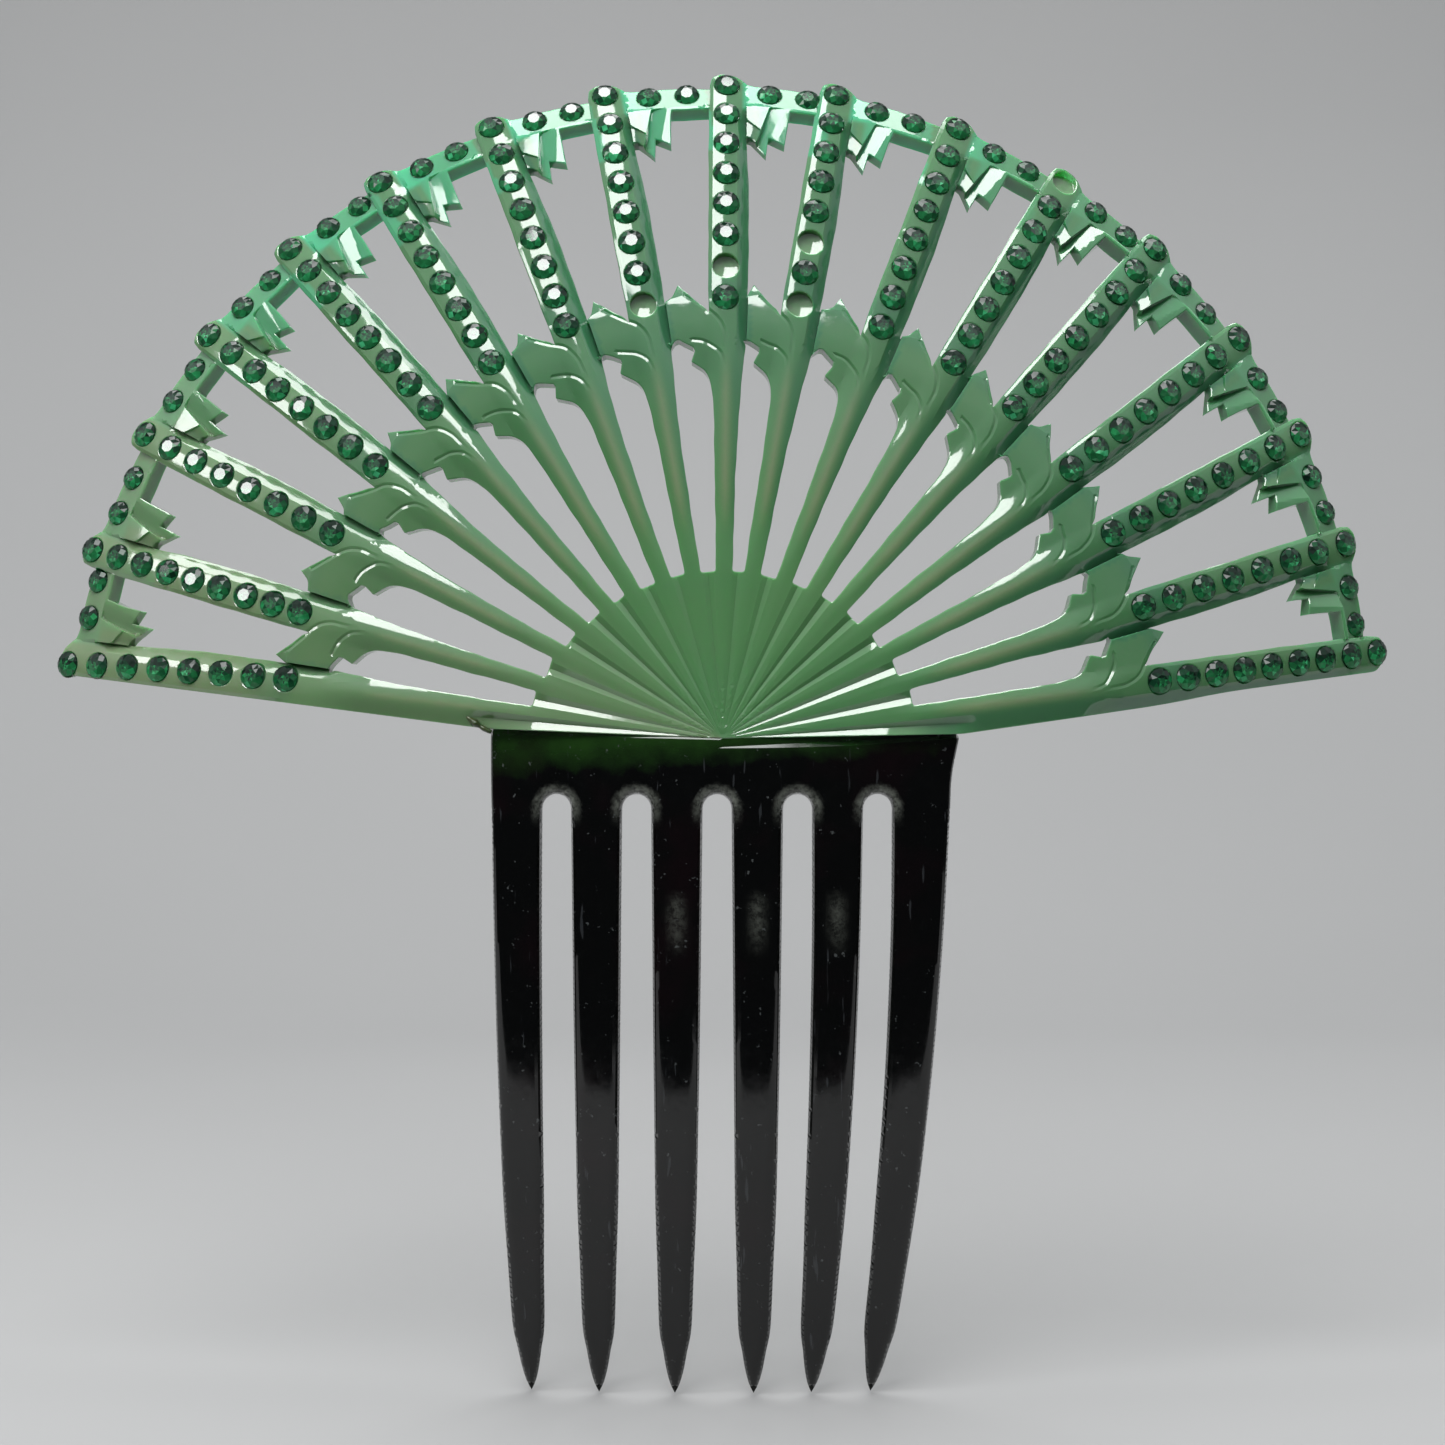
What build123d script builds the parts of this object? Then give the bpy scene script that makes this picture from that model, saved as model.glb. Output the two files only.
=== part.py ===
from build123d import *
import os
from math import cos, radians, sin, sqrt

# Decorative hair comb: a pierced, pleated fan set with round stones, cemented
# to the front of a six-tooth comb. Millimetres, +Z up, the stones face -Y.
# The origin is the middle of the line through the roots of the teeth.

# ---- driving dimensions -------------------------------------------------
fan_radius = 76.4  # focus of the sticks to the tops of the sticks
long_sticks = {0: 0.4, 1: 0.3, 16: 0.5}  # sticks that reach further out, and by how much
fan_drop = 13.0  # how far the rim lies behind the middle of the fan
fan_thickness = 2.4
flat_radius = 27.0  # the middle of the fan is flat, the rest bends back
blank_radius = 81.0  # the blank is cut back to the outline
focus_height = 6.2  # focus of the sticks above the tooth roots

stick_count = 17
stick_pitch = 10.38  # degrees between neighbouring sticks
pleat_tilt = 3.0  # degrees that each stick leans about its own centre line
# Sticks laid out by hand, a little off the even pitch (degrees clockwise)
stick_drift = {1: -0.7, 5: -0.5, 8: 0.4, 9: -0.3, 10: 0.4, 11: 0.5, 13: 0.4, 16: -0.5}
hub_radius = 18.5
hub_radius_ends = 3.0  # how much further the hub reaches beside the end sticks
rim_outer = 75.3
rim_inner = 72.1

comb_middle = -0.6  # the comb sits a little left of the fan's centre line
comb_thickness = 3.4
comb_bow_radius = 130.0  # the comb is bowed about an upright axis
tooth_count = 6
tooth_pitch = 8.94
tooth_length = 69.1
tooth_set_back = 12.0  # how far the points curve back
tooth_tip_thickness = 1.5
slot_width = 3.2

stick_stone_radius = 1.43
rim_stone_radius = 1.36
seat_clearance = 0.05
seat_depth = 0.95
crown_height = 0.5
girdle_height = 0.25
table_ratio = 0.55  # table radius over girdle radius
back_ratio = 0.25  # radius of the stone's back over girdle radius
stone_row_outer = 75.0  # outermost stone of a stick, from the focus
stone_row_inner = 49.2
first_row_lean = 1.35  # degrees that the first stick's row leans over its length
rim_stone_line = 74.15  # the stones on the rim, from the focus
rim_stone_angles = (3.8, 7.2)  # degrees from the stick to the left

shoulder_left = (-26.3, 1.1)  # lower corners of the fan, from the focus
shoulder_right = (26.6, 0.5)

fan_plane = Plane(origin=(0, 0, focus_height), x_dir=(1, 0, 0), z_dir=(0, -1, 0))
cut_reach = 40.0  # longer than the fan is deep


# ---- the fan's outline, seen from the front -----------------------------
def stick_angle(stick):
    """Degrees from upright, clockwise, of a stick counted from 0 at the left."""
    return (stick - (stick_count - 1) / 2) * stick_pitch + stick_drift.get(stick, 0.0)


def on_ray(radius, angle):
    """A point at a radius and angle about the focus."""
    return (radius * sin(radians(angle)), radius * cos(radians(angle)))


def on_stick(stick, along, across):
    """A point along a stick's centre line and across it, clockwise positive."""
    x, y = on_ray(along, stick_angle(stick))
    a = radians(stick_angle(stick))
    return (x + across * cos(a), y - across * sin(a))


def near_stick(stick, radius, offset):
    """A point at a radius, a few degrees to one side of a stick."""
    return on_ray(radius, stick_angle(stick) + offset)


def stick_top(stick):
    """Radius of a stick's top."""
    return fan_radius + long_sticks.get(stick, 0.0)


def hub_edge(angle):
    """Radius of the hub's edge, which grows towards the end sticks."""
    return hub_radius + hub_radius_ends * (angle / 80.0) ** 2


def right_edge(stick):
    """The clockwise edge of a stick from the hub to the rim: (along, across)."""
    start = hub_edge(stick_angle(stick) + stick_pitch / 2)
    neck = [(start, 0.95), (33.5, 1.4), (43.9, 2.3)]
    return neck + [(49.1, 2.45), (57.0, 2.6), (64.0, 2.5), (68.9, 2.2)]


def upper_opening(stick):
    """The opening above the leaf in the bay to the right of a stick."""
    wall = [on_stick(stick, along, across) for along, across in right_edge(stick)[3:]]
    tuft = [(66.9, 3.8), (69.2, 4.1), (68.3, 5.4), (rim_inner, 5.8)]
    points = wall + [near_stick(stick, radius, offset) for radius, offset in tuft]
    points += [on_stick(stick + 1, rim_inner, -2.05), on_stick(stick + 1, 57.0, -1.95)]
    leaf = [(47.4, -2.1), (48.9, -3.8), (50.8, -5.6)]
    points += [near_stick(stick + 1, radius, offset) for radius, offset in leaf]
    return points


def lower_opening(stick):
    """The opening between the hub and the leaf in the bay right of a stick."""
    wall = [on_stick(stick, along, across) for along, across in reversed(right_edge(stick)[:3])]
    end = hub_edge(stick_angle(stick) + stick_pitch / 2)
    points = wall + [on_stick(stick + 1, end, -0.85), on_stick(stick + 1, 33.5, -1.15)]
    leaf = [(38.5, -2.1), (39.4, -2.9), (40.5, -4.3), (41.8, -5.2), (42.9, -4.8), (43.9, -6.9)]
    points += [near_stick(stick + 1, radius, offset) for radius, offset in leaf]
    return points


def fan_outline():
    """The outer edge: the lower edges and the stepped tops of the sticks."""
    last = stick_count - 1
    points = [(0.0, 0.0), shoulder_left, on_stick(0, 50.0, -1.95), on_stick(0, 75.0, -1.95)]
    for stick in range(stick_count):
        if stick > 0:
            points.append(on_stick(stick, rim_outer - 0.2, -1.8))
        top = stick_top(stick)
        points.append(on_stick(stick, top - 0.35, -1.35))
        points.append(on_stick(stick, top, 0.0))
        points.append(on_stick(stick, top - 0.35, 1.25))
        if stick < last:
            points.append(on_stick(stick, rim_outer, 2.1))
    points += [on_stick(last, 75.4, 2.4), on_stick(last, 57.0, 2.2), on_stick(last, 50.0, 2.7)]
    points.append(shoulder_right)
    return points


def pleat_boundary(stick):
    """The line where a pleat steps up from the one before it, hub to rim."""
    if stick == 0:
        return [on_ray(50.0, -100.0), on_ray(120.0, -100.0)]
    if stick == stick_count:
        return [on_ray(50.0, 100.0), on_ray(120.0, 100.0)]
    return [on_stick(stick, 50.0, -1.95), on_stick(stick, 120.0, -2.1)]


# ---- the domed surfaces -------------------------------------------------
bend_radius = ((fan_radius - flat_radius) ** 2 + fan_drop**2) / (2 * fan_drop)


def dome_depth(radius, thickness=0.0):
    """Depth of the front surface, or of one parallel to it, behind the focus."""
    out = max(radius - flat_radius, 0.0)
    return bend_radius - sqrt((bend_radius - thickness) ** 2 - out**2)


def dome_slope(radius):
    out = max(radius - flat_radius, 0.0)
    return out / sqrt(bend_radius**2 - out**2)


profile_plane = Plane(origin=(0, 0, focus_height), x_dir=(1, 0, 0), z_dir=(0, 0, 1))
focus_axis = Axis((0, 0, focus_height), (0, 1, 0))


def dome_side(thickness, reach):
    """The half-space on one side of a dome surface: flat, then a round bend."""
    edge = (blank_radius, dome_depth(blank_radius, thickness))
    with BuildPart() as side:
        with BuildSketch(profile_plane):
            with BuildLine():
                flat = Line((0, thickness), (flat_radius, thickness))
                TangentArc(flat @ 1, edge, tangent=(1, 0))
                Polyline(edge, (blank_radius, reach), (0, reach), flat @ 0)
            make_face()
        revolve(axis=focus_axis)
    return side.part


behind_front = dome_side(0.0, cut_reach)
before_back = dome_side(fan_thickness, -cut_reach)


def pleat(stick):
    """The wedge of the dome that belongs to one stick, leaning about its line."""
    a = radians(stick_angle(stick))
    centre_line = Axis((0, 0, focus_height), (sin(a), 0, cos(a)))
    before = pleat_boundary(stick)
    after = pleat_boundary(stick + 1)
    with BuildPart() as wedge:
        add(behind_front.rotate(centre_line, pleat_tilt))
        with BuildSketch(fan_plane):
            with BuildLine():
                Polyline((0, 0), *before, *reversed(after), close=True)
            make_face()
        extrude(amount=cut_reach, both=True, mode=Mode.INTERSECT)
    return wedge.part


# ---- stones and their seats ---------------------------------------------
# Seats whose stones are lost: (stick, place from the rim), counted from 0
empty_seats = {(7, 7), (8, 6), (9, 5), (9, 7), (11, 0)}


def seat_plane(stick, radius, offset):
    """A plane on a stick's pleat, a few degrees from the stick, facing out."""
    angle = stick_angle(stick) + offset
    x, z = on_ray(radius, angle)
    slope = dome_slope(radius)
    a = radians(angle)
    clockwise = Vector(cos(a), 0, -sin(a))
    out = Vector(slope * sin(a), -1.0, slope * cos(a)).normalized()
    sink = radius * sin(radians(offset)) * sin(radians(pleat_tilt))
    origin = Vector(x, dome_depth(radius), focus_height + z) - out * sink
    tilt = radians(pleat_tilt)
    normal = out * cos(tilt) + clockwise * sin(tilt)
    return Plane(origin=origin, x_dir=clockwise * cos(tilt) - out * sin(tilt), z_dir=normal)


def stick_seats(stick):
    """The planes of all the seats on a stick, from the rim inward."""
    count = 9 if stick in (1, stick_count - 1) else 8
    outermost = stone_row_outer + 2 * long_sticks.get(stick, 0.0)
    seats = []
    for place in range(count):
        inward = place / (count - 1)
        radius = outermost + (stone_row_inner - outermost) * inward
        offset = first_row_lean * (inward - 0.4) if stick == 0 else 0.0
        seats.append(seat_plane(stick, radius, offset))
    return seats


def rim_seats(bay):
    """The planes of the two seats on the rim to the right of a stick."""
    return [seat_plane(bay, rim_stone_line, angle) for angle in rim_stone_angles]


def stone_row(radius, seats, label):
    """Round chatons: a tapered back, a thin girdle, a sloping crown, a table."""
    crown_middle = girdle_height + crown_height / 2
    with BuildPart() as stones:
        with Locations(*[seat.offset(-seat_depth / 2) for seat in seats]):
            Cone(radius * back_ratio, radius, seat_depth)
        with Locations(*[seat.offset(girdle_height / 2) for seat in seats]):
            Cylinder(radius, girdle_height)
        with Locations(*[seat.offset(crown_middle) for seat in seats]):
            Cone(radius, radius * table_ratio, crown_height)
    stones.part.label = label
    return stones.part


# ---- the comb -----------------------------------------------------------
def tooth_centre(tooth, depth):
    """Centre line of a tooth, which drifts a little by the time it ends."""
    drift = (0.9, -0.2, -0.4, -0.3, -2.6, -4.7)[tooth]
    root = (tooth - (tooth_count - 1) / 2) * tooth_pitch
    return root + drift * (depth / tooth_length) ** 2


def tooth_side(tooth, side):
    """Points down one side of a tooth, from the slot to the point."""
    flare = 0.9 if (tooth, side) == (tooth_count - 1, 1) else 0.0
    root_width = (tooth_pitch - slot_width) / 2
    points = []
    widths = [(slot_width / 2, root_width), (28.0, 2.6), (46.0, 2.35), (61.0, 1.85), (66.0, 1.05)]
    for depth, half_width in widths:
        wider = flare * (1 - depth / tooth_length) ** 2
        x = tooth_centre(tooth, depth) + side * (half_width + wider)
        points.append((x, -depth))
    points.append((tooth_centre(tooth, tooth_length), -tooth_length))
    return points


with BuildPart() as comb:
    # Bowed blank with the teeth curving back
    with BuildSketch(Plane.YZ.offset(comb_middle)):
        with BuildLine():
            deep = tooth_length + 3
            set_back = tooth_set_back * (deep / tooth_length) ** 2
            Line((0, 12), (0, 0))
            Bezier((0, 0), (0, -deep / 2), (set_back, -deep))
            tip_back = (set_back + tooth_tip_thickness, -deep)
            Line((set_back, -deep), tip_back)
            Bezier(tip_back, (comb_thickness - 0.6, -deep / 2), (comb_thickness, 0))
            Polyline((comb_thickness, 0), (comb_thickness, 12), (0, 12))
        make_face()
    revolve(axis=Axis((comb_middle, comb_bow_radius, 0), (0, 0, 1)))
    # Front outline: shoulders, teeth and round-topped slots
    with BuildSketch(Plane(origin=(comb_middle, 0, 0), x_dir=(1, 0, 0), z_dir=(0, -1, 0))):
        with BuildLine():
            left = tooth_side(0, -1)[0]
            right = tooth_side(tooth_count - 1, 1)[0]
            top = [(-25.3, 2.0), (-25.3, 8.1), (0, 8.6), (26.6, 7.4), (27.1, 6.3), (26.2, 2.0)]
            Polyline(left, *top, right)
            for tooth in range(tooth_count):
                Spline(*tooth_side(tooth, -1))
                Spline(*tooth_side(tooth, 1))
            for tooth in range(tooth_count - 1):
                one_side = tooth_side(tooth, 1)[0]
                other_side = tooth_side(tooth + 1, -1)[0]
                ThreePointArc(one_side, ((one_side[0] + other_side[0]) / 2, 0.0), other_side)
        make_face()
    extrude(amount=cut_reach, both=True, mode=Mode.INTERSECT)

# The comb's front is cut away where the fan lies in it
with BuildPart() as fan_bed:
    add(before_back)
    left = Vector(*shoulder_left) * 2
    right = Vector(*shoulder_right) * 2
    with BuildSketch(fan_plane):
        with BuildLine():
            Polyline((0, 0), left, (left.X, cut_reach), (right.X, cut_reach), right, close=True)
        make_face()
    extrude(amount=cut_reach, both=True, mode=Mode.INTERSECT)

with BuildPart() as fitted_comb:
    add(comb.part)
    add(fan_bed.part, mode=Mode.SUBTRACT)

# ---- the fan ------------------------------------------------------------
pleats = [pleat(stick) for stick in range(stick_count)]
all_stick_seats = [seat for stick in range(stick_count) for seat in stick_seats(stick)]
all_rim_seats = [seat for bay in range(stick_count - 1) for seat in rim_seats(bay)]
drill = seat_depth + 2.0
drill_middle = 1.0 - seat_depth / 2

with BuildPart() as fan:
    for wedge in pleats:
        add(wedge)
    add(before_back, mode=Mode.INTERSECT)
    with BuildSketch(fan_plane):
        with BuildLine():
            Polyline(*fan_outline(), close=True)
        make_face()
        for bay in range(stick_count - 1):
            for opening in (upper_opening(bay), lower_opening(bay)):
                with BuildLine():
                    Polyline(*opening, close=True)
                make_face(mode=Mode.SUBTRACT)
    extrude(amount=cut_reach, both=True, mode=Mode.INTERSECT)
    with Locations(*[seat.offset(drill_middle) for seat in all_stick_seats]):
        Cylinder(stick_stone_radius + seat_clearance, drill, mode=Mode.SUBTRACT)
    with Locations(*[seat.offset(drill_middle) for seat in all_rim_seats]):
        Cylinder(rim_stone_radius + seat_clearance, drill, mode=Mode.SUBTRACT)

# ---- the sub-parts and their files --------------------------------------
os.makedirs("parts", exist_ok=True)

fan.part.label = "fan"
export_step(fan.part, "parts/fan.step")
fitted_comb.part.label = "toothed_comb"
export_step(fitted_comb.part, "parts/toothed_comb.step")

for stick in range(stick_count):
    filled = [seat for place, seat in enumerate(stick_seats(stick)) if (stick, place) not in empty_seats]
    stones = stone_row(stick_stone_radius, filled, f"stick_{stick + 1:02d}_stones")
    export_step(stones, f"parts/{stones.label}.step")

for bay in range(stick_count - 1):
    stones = stone_row(rim_stone_radius, rim_seats(bay), f"rim_{bay + 1:02d}_stones")
    export_step(stones, f"parts/{stones.label}.step")
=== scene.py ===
import math

import bpy
import numpy as np
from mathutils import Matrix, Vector, kdtree
from mathutils.geometry import delaunay_2d_cdt


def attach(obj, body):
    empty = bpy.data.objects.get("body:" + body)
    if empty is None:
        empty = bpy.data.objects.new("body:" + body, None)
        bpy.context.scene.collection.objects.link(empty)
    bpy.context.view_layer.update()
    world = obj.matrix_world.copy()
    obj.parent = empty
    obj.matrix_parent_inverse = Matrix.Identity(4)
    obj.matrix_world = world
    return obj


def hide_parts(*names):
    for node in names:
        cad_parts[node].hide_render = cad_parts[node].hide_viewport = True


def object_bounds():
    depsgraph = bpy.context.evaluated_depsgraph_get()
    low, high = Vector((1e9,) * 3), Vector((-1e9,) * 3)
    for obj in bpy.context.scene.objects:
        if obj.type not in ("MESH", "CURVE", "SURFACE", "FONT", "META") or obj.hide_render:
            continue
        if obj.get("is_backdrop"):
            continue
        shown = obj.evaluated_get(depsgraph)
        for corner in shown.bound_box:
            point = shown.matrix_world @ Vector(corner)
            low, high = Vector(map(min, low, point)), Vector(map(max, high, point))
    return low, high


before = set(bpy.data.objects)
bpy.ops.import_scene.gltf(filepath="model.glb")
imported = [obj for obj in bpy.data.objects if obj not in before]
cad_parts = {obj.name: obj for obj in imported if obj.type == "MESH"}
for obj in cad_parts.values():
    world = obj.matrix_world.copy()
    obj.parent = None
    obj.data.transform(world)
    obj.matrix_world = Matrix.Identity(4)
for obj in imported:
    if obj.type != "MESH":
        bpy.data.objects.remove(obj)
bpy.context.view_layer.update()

# A decorative hair comb: a pierced and carved fan of jade-green celluloid set
# with foiled paste stones, cemented to a bottle-green comb. Shapes are worked
# out in millimetres in the CAD frame: the stones face -Y, +Z is up, and the
# origin is the middle of the line through the roots of the teeth.
MM = 0.001

# ---- driving dimensions (mm and degrees), the same as the CAD's ----------
fan_radius = 76.4
long_sticks = {0: 0.4, 1: 0.3, 16: 0.5}
fan_drop = 13.0
fan_thickness = 2.4
flat_radius = 27.0
focus_height = 6.2
stick_count = 17
stick_pitch = 10.38
pleat_tilt = 3.0
stick_drift = {1: -0.7, 5: -0.5, 8: 0.4, 9: -0.3, 10: 0.4, 11: 0.5, 13: 0.4, 16: -0.5}
hub_radius = 18.5
hub_radius_ends = 3.0
rim_outer = 75.3
rim_inner = 72.1
shoulder_left = (-26.3, 1.1)
shoulder_right = (26.6, 0.5)

stick_stone_radius = 1.43
rim_stone_radius = 1.36
seat_clearance = 0.05
seat_depth = 0.95
girdle_height = 0.25
crown_height = 0.5
stone_row_outer = 75.0
stone_row_inner = 49.2
first_row_lean = 1.35
rim_stone_line = 74.15
rim_stone_angles = (3.8, 7.2)
empty_seats = {(7, 7), (8, 6), (9, 5), (9, 7), (11, 0)}

comb_middle = -0.6
comb_thickness = 3.4
comb_bow_radius = 130.0
tooth_count = 6
tooth_pitch = 8.94
tooth_length = 69.1
tooth_set_back = 12.0
tooth_tip_thickness = 1.5
slot_width = 3.2
arch_depth = 0.12
slot_bevel = 0.36

bend_radius = ((fan_radius - flat_radius) ** 2 + fan_drop**2) / (2 * fan_drop)

# ---- how the fan's surface is carved --------------------------------------
edge_width = 0.1  # the worn edge along every cut
loop_spacing = 0.36
face_rows = (-1.18, -0.78, -0.38, 0.02, 0.42, 0.82, 1.65, 2.1)  # across a stick's face
grid_spacing = 0.42
back_spacing = 1.6
pleat_line = -1.95  # a stick's left edge, where its pleat steps up
facet_start = 1.2  # where a stick's flat face turns down to the right
facet_fall = 0.6
crown = 0.06  # how round a flat face is across
chamfer_start = -1.55
groove_depth = 0.33  # of the hub's V-grooves at its edge
groove_spread = 2.0  # degrees that each wall of a groove covers
end_groove_angle = {-1: 85.0, 1: 86.3}  # the last groove at each end, by the fan's lower edge
end_groove_above = 1.7  # degrees that its two walls cover
end_groove_below = 2.6
end_groove_depth = 0.56
crease_angle = 10.0  # facets that meet at more than this keep a sharp edge
comb_crease_angle = 22.0
wobble = 0.035  # how far hand-sawn edges wander
stem_end = 42.0  # the radius at which a stem starts to widen into its stick
leaf_band = (43.3, 51.8)  # the radii between which the leaves lie
tuft_edge = 72.5  # the radius at which the rim steps down to its tufts
cut_deepest = 0.12  # of the V-cuts that draw the leaves
cut_spacing = 0.25
row_gap = 0.09  # rows of places stop this far from an edge

# ---- how the stones sit -----------------------------------------------------
stone_tip = 0.04  # how far the setter's hand tipped them, as a slope
stone_sunk = -0.26  # how deep the edge of a stone lies in its seat
bright_rows = (6, 7, 8)  # the rows that lean left enough to catch the light
bright_lean = -0.055
worn_gloss = 0.5  # how glossy the facets round the table are, beside the table's 1


# ---- places on the fan, seen from the front, from the focus ----------------
def stick_angle(stick):
    return (stick - (stick_count - 1) / 2) * stick_pitch + stick_drift.get(stick, 0.0)


def groove_angle(bay):
    """The line of the hub's groove between a stick and the next."""
    return (stick_angle(bay) + stick_angle(bay + 1)) / 2


def on_ray(radius, angle):
    a = math.radians(angle)
    return (radius * math.sin(a), radius * math.cos(a))


def on_stick(stick, along, across):
    """A place along a stick's centre line and across it, clockwise positive."""
    a = math.radians(stick_angle(stick))
    return (
        along * math.sin(a) + across * math.cos(a),
        along * math.cos(a) - across * math.sin(a),
    )


def near_stick(stick, radius, offset):
    return on_ray(radius, stick_angle(stick) + offset)


def along_across(places, stick):
    """Distances along a stick and across it, for an array of places."""
    a = math.radians(stick_angle(stick))
    x, z = places[:, 0], places[:, 1]
    return x * math.sin(a) + z * math.cos(a), x * math.cos(a) - z * math.sin(a)


def hub_edge(angle):
    return hub_radius + hub_radius_ends * (angle / 80.0) ** 2


def stick_top(stick):
    return fan_radius + long_sticks.get(stick, 0.0)


def smooth(low, high, value):
    """0 below low, 1 above high, and a soft step between."""
    t = np.clip((value - low) / (high - low), 0.0, 1.0)
    return t * t * (3 - 2 * t)


def bend(places, height):
    """Bends the flat sheet: places seen from the front, and heights above it."""
    x, z = places[:, 0], places[:, 1]
    r = np.maximum(np.hypot(x, z), 1e-6)
    out = np.maximum(r - flat_radius, 0.0)
    down = np.sqrt(bend_radius**2 - out**2)
    outward = height * out / bend_radius / r
    depth = bend_radius - down - height * down / bend_radius
    return np.stack([x * (1 + outward), depth, z * (1 + outward) + focus_height], 1)


# ---- outlines ---------------------------------------------------------------
def curve_through(points, spacing=0.3):
    """An open smooth line through points."""
    p = np.array(points, float)
    ends = np.vstack([2 * p[0] - p[1], p, 2 * p[-1] - p[-2]])
    line = []
    for i in range(len(p) - 1):
        a, b, c, d = ends[i : i + 4]
        steps = max(int(math.ceil(np.linalg.norm(c - b) / spacing)), 1)
        for k in range(steps):
            t = k / steps
            bent = (2 * a - 5 * b + 4 * c - d) * t**2 + (3 * b - a - 3 * c + d) * t**3
            line.append(0.5 * (2 * b + (c - a) * t + bent))
    line.append(p[-1])
    return np.array(line)


def left_of(points):
    """At each point of an open line, the direction to its left."""
    ahead = np.gradient(points, axis=0)
    ahead /= np.linalg.norm(ahead, axis=1)[:, None]
    return np.stack([-ahead[:, 1], ahead[:, 0]], 1)


def rounded_loop(corners, spacing=loop_spacing):
    """A closed line of corners (x, z, radius), each rounded by its own radius."""
    points = np.array([c[:2] for c in corners], float)
    count = len(points)
    line = []
    for i in range(count):
        before, here, after = points[i - 1], points[i], points[(i + 1) % count]
        reach = min(
            corners[i][2],
            0.48 * np.linalg.norm(before - here),
            0.48 * np.linalg.norm(after - here),
        )
        if reach < 0.02:
            line.append(here)
            continue
        start = here + (before - here) * reach / np.linalg.norm(before - here)
        end = here + (after - here) * reach / np.linalg.norm(after - here)
        steps = max(int(math.ceil(2 * reach / spacing)), 3)
        for k in range(steps + 1):
            t = k / steps
            line.append(start * (1 - t) ** 2 + here * 2 * t * (1 - t) + end * t**2)
    return spaced_loop(np.array(line), spacing)


def spaced_loop(line, spacing):
    """The same closed line with points no further apart than the spacing."""
    result = []
    for a, b in zip(line, np.roll(line, -1, axis=0)):
        length = np.linalg.norm(b - a)
        if length < 0.02:
            continue
        steps = max(int(math.ceil(length / spacing)), 1)
        result.extend(a + (b - a) * k / steps for k in range(steps))
    return np.array(result)


def signed_area(loop):
    x, z = loop[:, 0], loop[:, 1]
    return 0.5 * float(np.sum(x * np.roll(z, -1) - np.roll(x, -1) * z))


def wound(loop, sign):
    """The loop, turned round if its area has the other sign."""
    return loop if signed_area(loop) * sign > 0 else loop[::-1]


def loop_normals(loop):
    """At each point of a loop, the direction to its left, longer at a corner."""
    after = np.roll(loop, -1, axis=0) - loop
    after /= np.linalg.norm(after, axis=1)[:, None]
    before = np.roll(after, 1, axis=0)
    left_before = np.stack([-before[:, 1], before[:, 0]], 1)
    left_after = np.stack([-after[:, 1], after[:, 0]], 1)
    total = left_before + left_after
    share = 1 + np.sum(left_before * left_after, axis=1)
    return total / np.maximum(share, 0.55)[:, None]


def wander(loop, phase):
    """A hand-sawn line: it strays a little from the drawn one."""
    run = np.cumsum(np.linalg.norm(np.roll(loop, -1, axis=0) - loop, axis=1))
    turn = 2 * math.pi * run / run[-1]
    waves = sum(np.sin(turn * k + phase * (k + 1)) for k in (5, 9, 16)) / 2
    return loop + loop_normals(loop) * (waves * wobble)[:, None]


def corners_on(stick, corners):
    """Corners given along a stick and across it, each with its rounding."""
    return [(*on_stick(stick, along, across), r) for along, across, r in corners]


def corners_near(stick, corners):
    """Corners given by radius and by degrees from a stick, each with its rounding."""
    return [(*near_stick(stick, radius, offset), r) for radius, offset, r in corners]


def right_edge(stick, noise):
    """The clockwise edge of a stick, hub to tuft."""
    start = hub_edge(stick_angle(stick) + stick_pitch / 2)
    line = [(start, 0.95), (26.0, 1.1), (33.5, 1.38), (39.5, 1.8), (43.9, 2.25)]
    line += [(49.1, 2.42), (57.0, 2.6), (64.0, 2.5), (68.9, 2.2)]
    return [(along, across + noise) for along, across in line]


def lower_opening(bay, rng):
    """The opening between the hub and the leaf, right of a stick."""
    n = rng.uniform(-0.12, 0.12, 14)
    wall = [[a, s, 3.0] for a, s in reversed(right_edge(bay, n[0] * 0.5)[:5])]
    wall[0][2] = 0.25
    wall[-1][2] = 0.3
    end = hub_edge(stick_angle(bay) + stick_pitch / 2)
    stem = [(end + n[1], -0.85, 0.3), (33.5, -1.15, 4.0), (37.6, -1.3, 2.0)]
    stem += [(39.7 + n[2], -1.62, 0.8), (40.8 + n[2], -2.2, 0.6)]
    # The small leaf's two notches, and the step up to the large one
    stem += [(41.9 + n[3], -3.85 + n[4], 0.12), (43.1 + n[3], -3.45 + n[4], 0.0)]
    stem += [(43.55, -3.6, 0.0), (44.1 + n[5], -4.6, 0.25)]
    stem += [(44.35 + n[6], -5.2, 0.12), (44.25 + n[7], -5.6, 0.2)]
    return corners_on(bay, wall) + corners_on(bay + 1, stem)


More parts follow.
